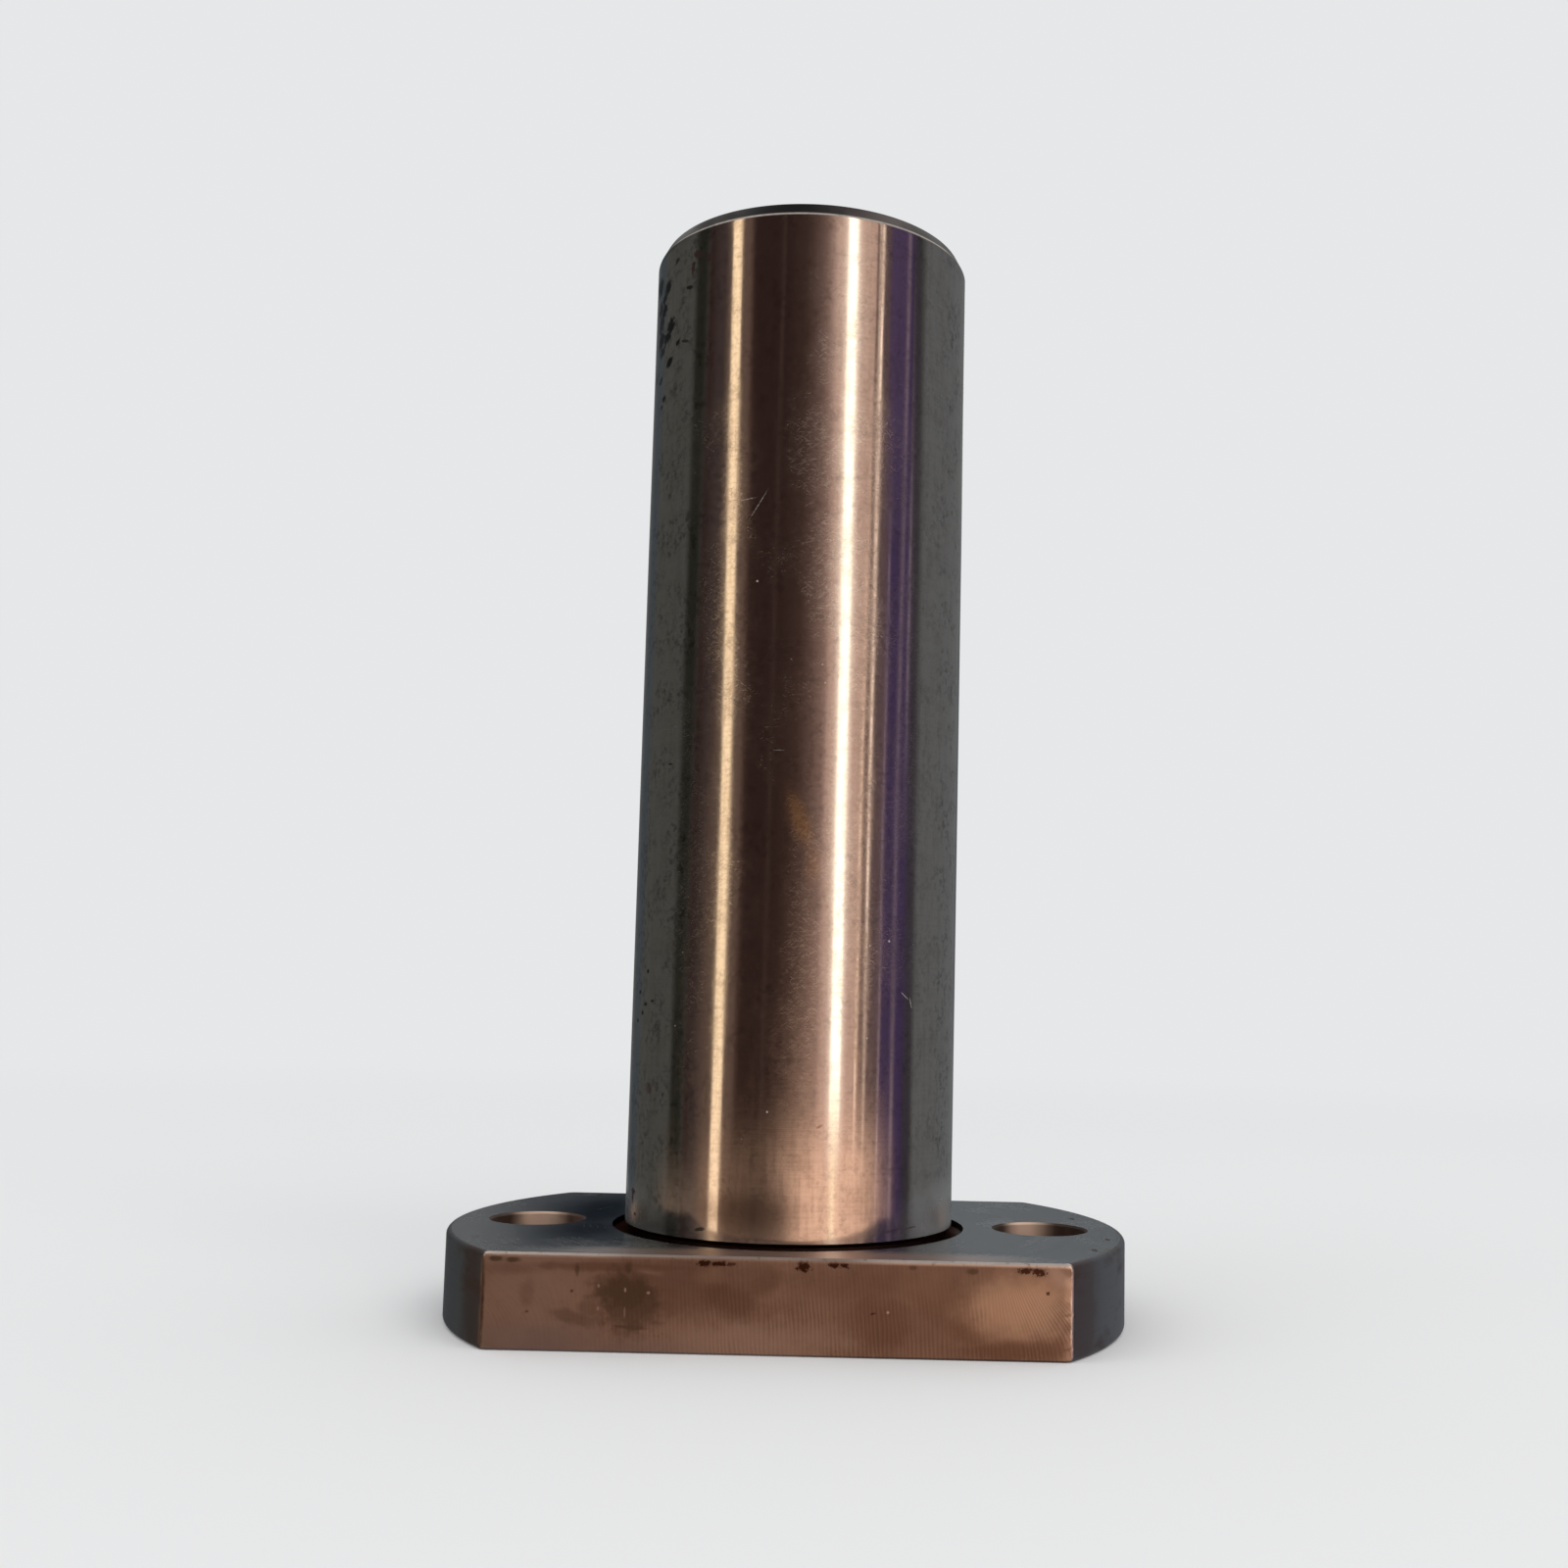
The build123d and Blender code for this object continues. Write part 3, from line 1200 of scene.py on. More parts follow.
    def rounded(self, corner: np.ndarray, before: np.ndarray, after: np.ndarray) -> Profile:
        """Rounds a corner of a profile, in four faces.

        The points are a quadratic curve between the points a and b that lie the rounding's size before
        and past the corner: (1-t)^2 a + 2t(1-t) corner + t^2 b.

        Args:
            corner: The corner.
            before: A point on the run that leads to it.
            after: A point on the run that leaves it.

        Returns:
            The points, in order.
        """
        first = corner + (before - corner) / np.linalg.norm(before - corner) * self.edge_rounding
        last = corner + (after - corner) / np.linalg.norm(after - corner) * self.edge_rounding
        share = np.linspace(0.0, 1.0, 5)[:, None]
        curve = (1 - share) ** 2 * first + 2 * share * (1 - share) * corner + share**2 * last
        return [tuple(point) for point in curve]

    def add_outside(self, skin: Skin) -> None:
        """Adds the relief groove, the ground outside, the lead-in and the end face.

        Each is a profile that turns round the axis.

        Args:
            skin: The skin that they join.
        """
        top = self.length
        lead = np.array([self.sleeve_r, top - self.lead_in_length])
        lip = np.array([self.sleeve_r - self.lead_in_depth, top])
        mouth = np.array([self.seat_r + self.mouth_break, top])
        foot = np.array([self.sleeve_r, self.flange_t + self.relief_lip])
        first = self.rounded(lead, foot, lip)
        second = self.rounded(lip, lead, mouth)
        relief = [
            (self.relief_outer_r, self.flange_t),
            (self.relief_outer_r, self.flange_t - self.relief_depth),
            (self.relief_root_r, self.flange_t - self.relief_depth),
            (self.relief_root_r, self.flange_t),
            tuple(foot),
        ]
        levels = np.linspace(foot[1], first[0][1] - self.edge_rounding, self.ground_rows)
        ground = [(self.sleeve_r, level) for level in levels]
        skin.add(self.revolved(relief), Region.RELIEF)
        skin.add(self.revolved(ground + first), Region.GROUND)
        skin.add(self.revolved([first[-1]] + second), Region.LEAD_IN)
        skin.add(self.revolved([second[-1], tuple(mouth)]), Region.END_FACE)

    def scalloped(self, height: float) -> np.ndarray:
        """A row of the raceway with its return grooves.

        The radius is the raceway's, or where a return row's channel reaches further, the far point of
        the channel's circle: q cos d + sqrt(c^2 - q^2 sin^2 d), with q the row's radius, c the
        channel's and d the angle from the row.

        Args:
            height: The row's height.

        Returns:
            The row of points.
        """
        spacing = 360.0 / self.circuits
        offset = (self.turns - self.return_row_turn + spacing / 2) % spacing - spacing / 2
        turn = np.radians(offset)
        inside = self.channel_r**2 - (self.return_row_r * np.sin(turn)) ** 2
        reach = self.return_row_r * np.cos(turn) + np.sqrt(np.maximum(inside, 0.0))
        channelled = np.maximum(reach, self.raceway_r)
        return self.circle(np.where(inside > 0.0, channelled, self.raceway_r), height)

    def add_bore(self, skin: Skin) -> None:
        """Adds the inside, from the upper mouth down to the lower one, which mirrors it.

        Every row is a circle, but the raceway's rows between two turns are scalloped.

        Args:
            skin: The skin that it joins.
        """
        near, far = self.ring_groove
        mouth = [
            (self.seat_r + self.mouth_break, 0.0),
            (self.seat_r, self.mouth_break),
            (self.seat_r, near),
            (self.ring_groove_r, near),
            (self.ring_groove_r, far),
            (self.raceway_r, far),
        ]
        relief = [
            (self.raceway_r, self.turn_relief_w),
            (self.turn_relief_r, self.turn_relief_w),
            (self.turn_relief_r, 0.0),
        ]
        rows = [self.circle(radius, self.length - depth) for radius, depth in mouth]
        for middle in reversed(self.row_mids):
            upper, lower = middle + self.row_length / 2, middle - self.row_length / 2
            rows += [self.circle(radius, upper + depth) for radius, depth in relief]
            rows += [self.scalloped(upper), self.scalloped(lower)]
            rows += [self.circle(radius, lower - depth) for radius, depth in reversed(relief)]
        rows += [self.circle(radius, depth) for radius, depth in reversed(mouth)]
        skin.add(np.stack(rows), Region.BORE)

    def face_outline(self, height: float, inset: float) -> np.ndarray:
        """The outline of a flange face.

        Args:
            height: The face's height.
            inset: How far the outline is drawn in.

        Returns:
            The row of points.
        """
        radius = self.flange_r - self.rim_rounding - inset
        reach = self.flat_reach - self.flat_break - inset
        return self.outline(radius, reach, height, np.zeros(4))

    def add_rim(self, skin: Skin) -> None:
        """Adds the rim's two arcs and the two flats.

        The rim's section is a quarter circle at top and bottom and straight between. The flats' section
        is a small straight break at top and bottom.

        Args:
            skin: The skin that they join.
        """
        ends = self.rim_rounding * (1.0 - np.sin(np.radians(self.rim_turns)))
        middle = np.linspace(self.rim_rounding, self.flange_t - self.rim_rounding, self.rim_rows)[1:-1]
        heights = np.concatenate([ends, middle, self.flange_t - ends[::-1]])
        from_end = np.minimum(heights, self.flange_t - heights)
        inward = np.maximum(self.rim_rounding - from_end, 0.0)
        radii = self.flange_r - self.rim_rounding + np.sqrt(self.rim_rounding**2 - inward**2)
        reaches = self.flat_reach - np.maximum(self.flat_break - from_end, 0.0)
        rows = []
        uneven = np.random.default_rng(self.burr_seed).normal(0.0, 1.0, (len(heights), 4))
        uneven = (uneven + np.roll(uneven, 1, axis=0) + np.roll(uneven, 2, axis=0)) / 3.0
        for index, (radius, reach, height) in enumerate(zip(radii, reaches, heights)):
            inside = 0 < index < len(heights) - 1
            share = self.burr_even + self.burr_uneven * uneven[index]
            burr = np.array(self.burrs) * share if inside else np.zeros(4)
            rows.append(self.outline(radius, reach, height, burr))
        grid = np.stack(rows)
        folded = np.minimum(self.turns % 180.0, 180.0 - self.turns % 180.0)
        on_flat = folded > self.corner_turn - self.corner_gap / 2
        bounds = [0, *(np.flatnonzero(np.diff(on_flat.astype(int))) + 1), len(self.turns) - 1]
        for start, end in zip(bounds[:-1], bounds[1:]):
            region = Region.FLAT if on_flat[(start + end) // 2] else Region.RIM
            skin.add(grid[:, start : end + 1], region)

    def add_face(self, skin: Skin, height: float, region: Region) -> None:
        """Adds one face of the flange, with its two bolt holes.

        Away from the holes it is straight lines from the relief's circle to the outline. Round a hole
        it is straight lines from the hole's circle to the border of a sector, each at the same bearing.

        Args:
            skin: The skin that it joins.
            height: The face's height.
            region: Its finish.
        """
        border = self.face_outline(height, 0.0)
        inset = self.face_outline(height, self.face_inset)
        skin.add(np.stack([border, inset]), region)
        inner = self.circle(self.relief_outer_r, height)
        if region is Region.UNDERSIDE:
            skin.add(np.stack([self.circle(self.seat_r + self.mouth_break, height), inner]), region)
        share = np.linspace(0.0, 1.0, self.face_rows)[:, None, None]
        lines = inner + share * (inset - inner)
        sector = self.hole_sector
        for low, high in ((sector, 180.0 - sector), (180.0 + sector, 360.0 - sector)):
            chosen = (self.turns >= low) & (self.turns <= high)
            skin.add(lines[:, chosen], region)
        for x in (self.hole_x, -self.hole_x):
            self.add_hole(skin, lines, np.array([x, 0.0, height]), region)

    def add_hole(self, skin: Skin, lines: np.ndarray, centre: np.ndarray, region: Region) -> None:
        """Adds the part of a face round one bolt hole, and the hole itself where the face is the top.

        Args:
            skin: The skin that they join.
            lines: The face's straight lines from the relief's circle to the outline.
            centre: The hole's middle, on the face.
            region: The face's finish.
        """
        middle = 0.0 if centre[0] > 0 else 180.0
        order = np.argsort((self.turns[:-1] - middle + 180.0) % 360.0)
        offset = (self.turns[:-1][order] - middle + 180.0) % 360.0 - 180.0
        chosen = order[np.abs(offset) <= self.hole_sector]
        border = np.concatenate(
            [
                lines[0, chosen],
                lines[1:-1, chosen[-1]],
                lines[-1, chosen[::-1]],
                lines[-2:0:-1, chosen[0]],
                lines[0, chosen[:1]],
            ]
        )
        bearing = border - centre
        unit = bearing / np.linalg.norm(bearing, axis=1)[:, None]
        rim = centre + unit * (self.hole_r + self.hole_break)
        spread = np.array(self.hole_spread)[:, None, None]
        skin.add(rim + spread * (border - rim), region)
        if region is Region.FLANGE_TOP:
            profile = (
                (self.hole_r + self.hole_break, self.flange_t),
                (self.hole_r, self.flange_t - self.hole_break),
                (self.hole_r, self.hole_break),
                (self.hole_r + self.hole_break, 0.0),
            )
            rows = [np.array([centre[0], 0.0, z]) + unit * radius for radius, z in profile]
            skin.add(np.stack(rows), Region.HOLE)


def sleeve_finishes() -> list[SteelFinish | GroundFinish | MilledFinish]:
    """Lists the finishes of the flanged sleeve.

    Returns:
        The finishes, in the order of Region.
    """
    warm = (0.56, 0.51, 0.47)
    brown = (0.33, 0.25, 0.21)
    return [
        GroundFinish(),
        # the lead-in: near black, a painted dark reflection of the room above it
        SteelFinish(
            "lead_in_turned_painted_shade",
            Lay.ROUND,
            (0.055, 0.052, 0.054),
            (0.038, 0.033, 0.032),
            roughness=0.34,
            pitch=0.1,
            marks=LEAD_IN_PAINTED_LIGHT_AND_SHADE,
        ),
        SteelFinish("end_face_turned", Lay.TURNED, warm, brown, roughness=0.28, pitch=0.12),
        # the relief groove: dark red-brown with weak reflections, as painted shade in the groove
        SteelFinish(
            "relief_groove_painted_shade",
            Lay.TURNED,
            (0.075, 0.04, 0.034),
            (0.03, 0.018, 0.016),
            roughness=0.5,
            edge=(0.2, 0.15, 0.14),
            marks=GROOVE_PAINTED_LIGHT,
        ),
        SteelFinish(
            "flange_face_turned",
            Lay.TURNED,
            (0.74, 0.75, 0.76),
            (0.68, 0.69, 0.7),
            roughness=0.25,
            dulled=0.03,
            pitch=0.2,
            edge=(0.7, 0.7, 0.7),
            marks=FACE_STAINS_AND_PAINTED_REFLECTION,
        ),
        SteelFinish(
            "rim_turned",
            Lay.ROUND,
            (0.31, 0.31, 0.33),
            (0.22, 0.185, 0.18),
            roughness=0.36,
            pitch=0.16,
            marks=RIM_MARKS,
        ),
        MilledFinish(),
        # the bolt holes: a dark brown that paints the shade in the holes, under a painted highlight
        SteelFinish(
            "hole_drilled_painted_light_and_shade",
            Lay.TURNED,
            (0.11, 0.065, 0.048),
            (0.05, 0.032, 0.026),
            roughness=0.4,
            pitch=0.3,
            metallic=0.45,
            marks=HOLE_PAINTED_HIGHLIGHT,
        ),
        SteelFinish("underside_turned", Lay.TURNED, (0.46, 0.43, 0.41), (0.3, 0.26, 0.23), roughness=0.36),
        SteelFinish("bore_finished", Lay.ROUND, (0.5, 0.48, 0.46), (0.34, 0.31, 0.28), roughness=0.25),
    ]


# places of the marks, in millimetres round the sleeve or along the flat, and up

WORN_PLACES = Marks(
    (1.0, 1.0, 1.0),
    (
        Spot(2.0, 90.5, 1.6, 3.0, 0.9),
        Spot(2.0, 97.5, 1.8, 6.5, 0.5),
        Spot(5.7, 92.0, 1.0, 11.0, 0.5),
        Spot(1.2, 81.5, 2.8, 6.5, 1.0),
        Spot(2.2, 70.0, 2.2, 8.0, 1.0),
        Spot(-6.5, 77.0, 2.0, 5.0, 0.5),
        Spot(-8.5, 67.0, 1.8, 8.0, 0.8),
        Spot(-9.5, 38.0, 2.2, 16.0, 0.75),
        Spot(1.2, 34.0, 2.2, 13.0, 0.9),
        Spot(6.2, 66.0, 1.2, 12.0, 0.8),
        Spot(6.0, 40.0, 1.0, 12.0, 0.6),
    ),
    ragged=0.4,
    soft=0.5,
    grain=0.6,
)

SLEEVE_STAINS_AND_PAINTED_LIGHT = (
    # painted light: both sides of the foot paler and duller, so they show brighter
    Marks(
        (0.95, 0.89, 0.84),
        (
            Spot(-19.5, 9.6, 6.0, 3.0, 0.8),
            Spot(19.5, 9.6, 6.5, 3.4, 0.9),
        ),
        ragged=0.1,
        soft=0.6,
        grain=0.5,
        dull=0.22,
    ),
    # painted shadow: a near-black band round the sleeve's foot, as the relief groove's shade
    Marks((0.03, 0.018, 0.016), (Spot(0.0, 6.4, 500.0, 1.8),), ragged=0.02, soft=0.1, dull=0.3),
    # painted dark reflection: the foot just left of the front made darker brown
    Marks(
        (0.2, 0.15, 0.125),
        (
            Spot(-3.4, 11.4, 4.4, 1.5, 0.6),
            Spot(-3.0, 10.8, 2.6, 0.9, 0.4),
        ),
        ragged=0.12,
        soft=0.7,
        grain=0.5,
    ),
    # painted shade: the left of the top rounding darkened, in place of its bright reflection
    Marks((0.14, 0.13, 0.12), (Spot(-19.0, 105.4, 9.0, 1.0, 0.85),), ragged=0.05, soft=0.4),
    Marks(
        (0.62, 0.42, 0.22),
        (
            Spot(0.6, 47.0, 0.9, 2.6, 0.75, 20.0),
            Spot(2.0, 42.5, 0.7, 1.6, 0.35),
        ),
        soft=0.7,
        grain=0.6,
        dull=0.16,
    ),
    Marks(
        (0.012, 0.009, 0.009),
        (
            Spot(-20.0, 101.8, 1.0, 1.3, 0.95, 60.0),
            Spot(-17.2, 100.8, 0.9, 0.7, 1.0, 34.0),
            Spot(-18.0, 100.0, 0.9, 0.5, 0.95, 30.0),
            Spot(-19.4, 99.3, 0.9, 0.8, 0.9, 50.0),
            Spot(-18.1, 98.6, 0.9, 0.7, 1.0, 30.0),
            Spot(-19.0, 97.5, 1.1, 0.9, 0.9, 50.0),
            Spot(-16.2, 96.4, 0.85, 0.75, 1.0, 40.0),
            Spot(-17.0, 95.5, 1.1, 0.6, 1.0, 12.0),
            Spot(-18.8, 95.7, 1.1, 0.9, 0.95, 45.0),
            Spot(-18.3, 94.4, 0.9, 0.5, 0.9, 10.0),
            Spot(-14.6, 94.2, 0.42, 0.28, 0.95, 30.0),
            Spot(-13.4, 94.0, 0.5, 0.18, 0.8, -16.0),
            Spot(-16.2, 92.7, 0.8, 0.45, 1.0, 22.0),
            Spot(-18.5, 91.5, 0.6, 0.3, 0.95, 27.0),
            Spot(-20.5, 92.2, 0.6, 0.3, 0.85, 85.0),
            Spot(-17.4, 89.3, 0.5, 0.3, 0.95, 3.0),
            Spot(-17.9, 88.6, 0.35, 0.25, 0.8, 24.0),
            Spot(-12.9, 99.3, 0.5, 0.2, 0.9, -11.0),
            Spot(-15.2, 102.8, 0.5, 0.3, 0.85, 30.0),
            Spot(-16.3, 32.7, 0.26, 0.2, 0.9),
            Spot(-18.1, 30.7, 0.3, 0.22, 0.9),
            Spot(-16.6, 29.6, 0.3, 0.2, 0.85),
            Spot(-15.2, 29.9, 0.33, 0.15, 0.85),
            Spot(-17.3, 28.8, 0.3, 0.22, 0.9),
            Spot(-18.7, 28.0, 0.35, 0.24, 0.85),
            Spot(-13.4, 52.3, 0.4, 0.11, 0.85),
            Spot(-7.7, 9.6, 0.6, 0.16, 0.85, 10.0),
        ),
        ragged=0.5,
        grain=2.4,
        dull=0.3,
    ),
    Marks(
        (0.15, 0.035, 0.025),
        (
            Spot(-11.8, 102.3, 0.7, 0.35, 0.75, -34.0),
            Spot(-12.4, 101.1, 0.65, 0.26, 0.75, 86.0),
            Spot(-10.4, 101.7, 0.6, 0.32, 0.65, -57.0),
            Spot(-18.3, 11.6, 0.24, 0.85, 0.9),
            Spot(-18.2, 11.9, 0.55, 0.24, 0.85),
            Spot(-17.5, 9.9, 0.35, 0.18, 0.75),
            Spot(-15.2, 21.7, 0.5, 0.5, 0.5),
            Spot(3.3, 19.1, 0.35, 0.13, 0.4, 30.0),
            Spot(10.8, 9.6, 0.9, 0.08, 0.6, 4.0),
            Spot(13.1, 9.7, 0.9, 0.08, 0.6, 4.0),
        ),
        ragged=0.3,
        dull=0.2,
    ),
)

SLEEVE_DUST = Marks(
    (0.62, 0.57, 0.52),
    (
        Spot(-3.9, 76.3, 1.6, 0.04, 0.3, 58.0),
        Spot(-5.0, 76.9, 0.9, 0.04, 0.28, 8.0),
        Spot(-3.8, 69.0, 0.1, 0.1, 0.6),
        Spot(-0.4, 61.6, 0.08, 0.08, 0.3),
        Spot(2.5, 61.2, 0.08, 0.08, 0.4),
        Spot(2.8, 59.5, 0.08, 0.08, 0.4),
        Spot(-1.3, 53.1, 0.5, 0.04, 0.25),
        Spot(-1.5, 20.3, 0.1, 0.1, 0.55),
        Spot(-3.8, 17.8, 0.08, 0.08, 0.2),
        Spot(-10.7, 34.5, 0.08, 0.08, 0.25),
        Spot(-11.4, 27.7, 0.1, 0.08, 0.35),
        Spot(9.8, 35.9, 0.11, 0.11, 0.75),
        Spot(7.7, 35.4, 0.08, 0.08, 0.45),
        Spot(7.6, 27.0, 0.08, 0.08, 0.45),
        Spot(11.8, 30.9, 0.6, 0.05, 0.45, -35.0),
        Spot(12.6, 30.2, 0.5, 0.05, 0.45, -75.0),
    ),
    ragged=0.1,
    dull=0.4,
)

# painted light and shade on the lead-in: paler to the right, near black to the left
LEAD_IN_PAINTED_LIGHT_AND_SHADE = (
    Marks((0.2, 0.17, 0.165), (Spot(24.0, 105.4, 15.0, 4.0, 0.8),), soft=0.6, grain=0.5),
    Marks((0.025, 0.024, 0.026), (Spot(-11.0, 105.4, 10.0, 4.0, 0.8),), soft=0.6, grain=0.5),
)

# painted light: a paler place on the groove's floor at the right, where light reaches in
GROOVE_PAINTED_LIGHT = (
    Marks((0.2, 0.2, 0.19), (Spot(17.4, 0.5, 1.2, 5.0, 0.8),), ragged=0.1, soft=0.6, grain=0.5),
)

FACE_STAINS_AND_PAINTED_REFLECTION = (
    Marks(
        (0.8, 0.6, 0.52),
        (Spot(1.0, -19.0, 18.0, 3.0, 0.9),),
        ragged=0.08,
        soft=0.5,
        grain=0.3,
        dull=0.22,
    ),
    # painted reflection: a dark navy patch left of the sleeve, for the dark room mirrored in the face
    Marks(
        (0.01, 0.03, 0.055),
        (
            Spot(-19.2, 6.0, 5.0, 15.0, 0.92),
            Spot(-18.6, -6.0, 4.4, 8.0, 0.85),
            Spot(-17.0, -12.6, 5.0, 1.8, 0.6),
        ),
        ragged=0.06,
        soft=0.8,
        grain=0.3,
    ),
    Marks((0.82, 0.68, 0.46), (Spot(30.0, -11.9, 1.0, 0.5, 0.85, -20.0),), ragged=0.4),
    Marks(
        (0.6, 0.62, 0.64),
        (
            Spot(-17.4, -12.6, 0.09, 1.0, 0.8, -25.0),
            Spot(-17.0, -12.9, 0.07, 0.8, 0.7, -38.0),
        ),
    ),
    Marks(
        (0.04, 0.035, 0.035),
        (
            Spot(28.9, 7.7, 0.3, 0.8, 0.9),
            Spot(30.6, -6.0, 0.3, 1.0, 0.85),
            Spot(28.4, -12.7, 0.35, 0.9, 0.85),
            Spot(22.8, 16.5, 0.5, 0.8, 0.6),
            Spot(24.9, 16.1, 0.4, 0.7, 0.6),
            Spot(30.3, 0.3, 0.3, 0.5, 0.6),
            Spot(-27.9, -12.4, 0.4, 0.9, 0.5),
        ),
        dull=0.25,
    ),
)

RIM_MARKS = (
    Marks(
        (0.2, 0.115, 0.095),
        (
            Spot(54.0, 4.0, 5.0, 7.0, 0.6),
            Spot(-54.0, 4.0, 4.0, 7.0, 0.7),
        ),
        soft=0.6,
        grain=0.4,
    ),
)

# painted highlight: a pale copper patch on the far wall of each bolt hole
HOLE_PAINTED_HIGHLIGHT = (
    Marks(
        (0.86, 0.61, 0.47),
        (
            Spot(-25.6, 4.6, 2.2, 1.6),
            Spot(23.7, 4.6, 2.0, 1.6),
        ),
        ragged=0.1,
        soft=0.7,
        grain=0.5,
    ),
)

FLAT_STAINS_AND_PAINTED_LIGHT = (
    Marks(
        (0.25, 0.165, 0.125),
        (
            Spot(15.5, 4.0, 13.0, 9.0, 0.7),
            Spot(-6.5, 6.2, 7.5, 2.6, 0.45),
        ),
        ragged=0.1,
        soft=0.85,
        grain=0.4,
    ),
    Marks(
        (0.4, 0.345, 0.35),
        (
            Spot(-21.0, 0.9, 5.5, 1.7, 0.8),
            Spot(-12.0, 0.4, 6.0, 0.9, 0.5),
        ),
        ragged=0.2,
        soft=0.7,
        grain=0.5,
    ),
    Marks(
        (0.62, 0.5, 0.44),
        (
            Spot(-11.1, 6.9, 1.2, 0.25, 0.7, -10.0),
            Spot(-2.0, 1.2, 7.0, 1.6, 0.6),
            Spot(-22.0, 5.2, 5.0, 3.6, 0.5),
            Spot(24.2, 7.2, 1.2, 0.7, 0.7, -40.0),
        ),
        ragged=0.35,
        soft=0.7,
        grain=0.5,
    ),
    Marks(
        (0.66, 0.49, 0.37),
        (
            Spot(-5.7, 6.5, 1.2, 0.7, 0.4),
            Spot(20.6, 4.6, 4.6, 2.4, 1.0),
            Spot(13.0, 5.8, 3.0, 1.2, 0.2),
        ),
        ragged=0.3,
        soft=0.7,
        grain=0.5,
    ),
    Marks(
        (0.23, 0.14, 0.1),
        (
            Spot(-7.5, 5.6, 6.5, 2.6, 0.4),
            Spot(-4.2, 4.6, 3.2, 1.6, 0.65, -25.0),
            Spot(-1.0, 6.2, 1.6, 1.2, 0.5, 40.0),
            Spot(7.5, 6.2, 7.0, 1.6, 0.35),
            Spot(8.9, 3.0, 2.9, 2.7, 0.55),
            Spot(9.2, 1.9, 2.4, 1.2, 0.6),
            Spot(14.0, 5.2, 2.6, 1.8, 0.4),
            Spot(16.3, 2.3, 1.9, 0.9, 0.6, -38.0),
            Spot(20.4, 0.9, 5.0, 0.9, 0.8, 3.0),
            Spot(-22.8, 6.9, 2.2, 0.6, 0.4),
            Spot(-13.5, 7.2, 7.5, 0.4, 0.6),
            Spot(-21.4, 5.0, 0.6, 1.3, 0.3),
            Spot(-9.0, 4.6, 0.9, 1.8, 0.45),
        ),
        ragged=0.35,
        soft=0.6,
        grain=0.6,
    ),
    Marks(
        (0.13, 0.095, 0.062),
        (
            Spot(-13.2, 5.0, 2.6, 1.9, 0.75),
            Spot(-12.7, 3.8, 2.8, 2.2, 0.65),
            Spot(-12.6, 2.2, 1.9, 0.25, 0.7, -4.0),
            Spot(-10.8, 3.4, 0.3, 1.2, 0.5),
            Spot(-12.8, 7.0, 0.35, 0.6, 0.6),
            Spot(-14.6, 5.8, 0.9, 0.6, 0.5),
            Spot(-17.5, 2.9, 2.0, 0.6, 0.4, -14.0),
            Spot(-15.9, 3.7, 1.2, 0.7, 0.35),
            Spot(-17.2, 6.9, 0.2, 0.5, 0.6),
            Spot(-24.2, 7.7, 0.6, 0.25, 0.8),
            Spot(-22.8, 7.65, 0.6, 0.25, 0.8),
            Spot(16.8, 7.5, 0.5, 0.25, 0.7),
            Spot(11.7, 7.7, 0.3, 0.2, 0.6),
        ),
        ragged=0.4,
        soft=0.45,
        grain=1.0,
        dull=0.05,
    ),
    Marks(
        (0.07, 0.028, 0.016),
        (
            Spot(-6.2, 7.72, 0.7, 0.3, 1.0),
            Spot(-5.0, 7.7, 0.8, 0.24, 1.0),
            Spot(-3.9, 7.65, 0.4, 0.16, 0.8),
            Spot(2.3, 7.6, 0.6, 0.42, 1.0),
            Spot(4.9, 7.8, 0.5, 0.28, 1.0),
            Spot(5.8, 7.75, 0.5, 0.25, 1.0),
            Spot(21.4, 7.68, 0.7, 0.3, 0.95),
            Spot(22.5, 7.58, 0.6, 0.34, 0.95),
            Spot(-17.6, 5.1, 0.14, 0.14, 0.6),
            Spot(-21.4, 3.3, 0.16, 0.12, 0.55),
            Spot(23.3, 5.8, 0.16, 0.14, 0.85),
            Spot(8.3, 3.75, 0.25, 0.1, 0.8, 15.0),
        ),
        ragged=0.65,
        grain=3.6,
    ),
    Marks(
        (0.75, 0.64, 0.57),
        (
            Spot(-15.3, 5.6, 0.12, 0.16, 0.6),
            Spot(-13.0, 5.3, 0.1, 0.2, 0.7),
            Spot(-11.0, 5.1, 0.16, 0.14, 0.7),
            Spot(-15.3, 3.7, 0.1, 0.2, 0.55),
            Spot(-13.0, 3.4, 0.08, 0.5, 0.4),
            Spot(9.6, 3.9, 0.12, 0.12, 0.8),
        ),
        ragged=0.1,
    ),
    # painted highlight: a pale line down the right corner of the front flat
    Marks((0.95, 0.84, 0.78), (Spot(25.5, 4.0, 0.2, 5.0, 0.9),), ragged=0.3),
    # painted shade: a dark line down the left corner of the front flat, over its edge reflection
    Marks((0.1, 0.07, 0.06), (Spot(-25.55, 4.0, 0.45, 6.0, 1.0),), ragged=0.1),
)


# studio


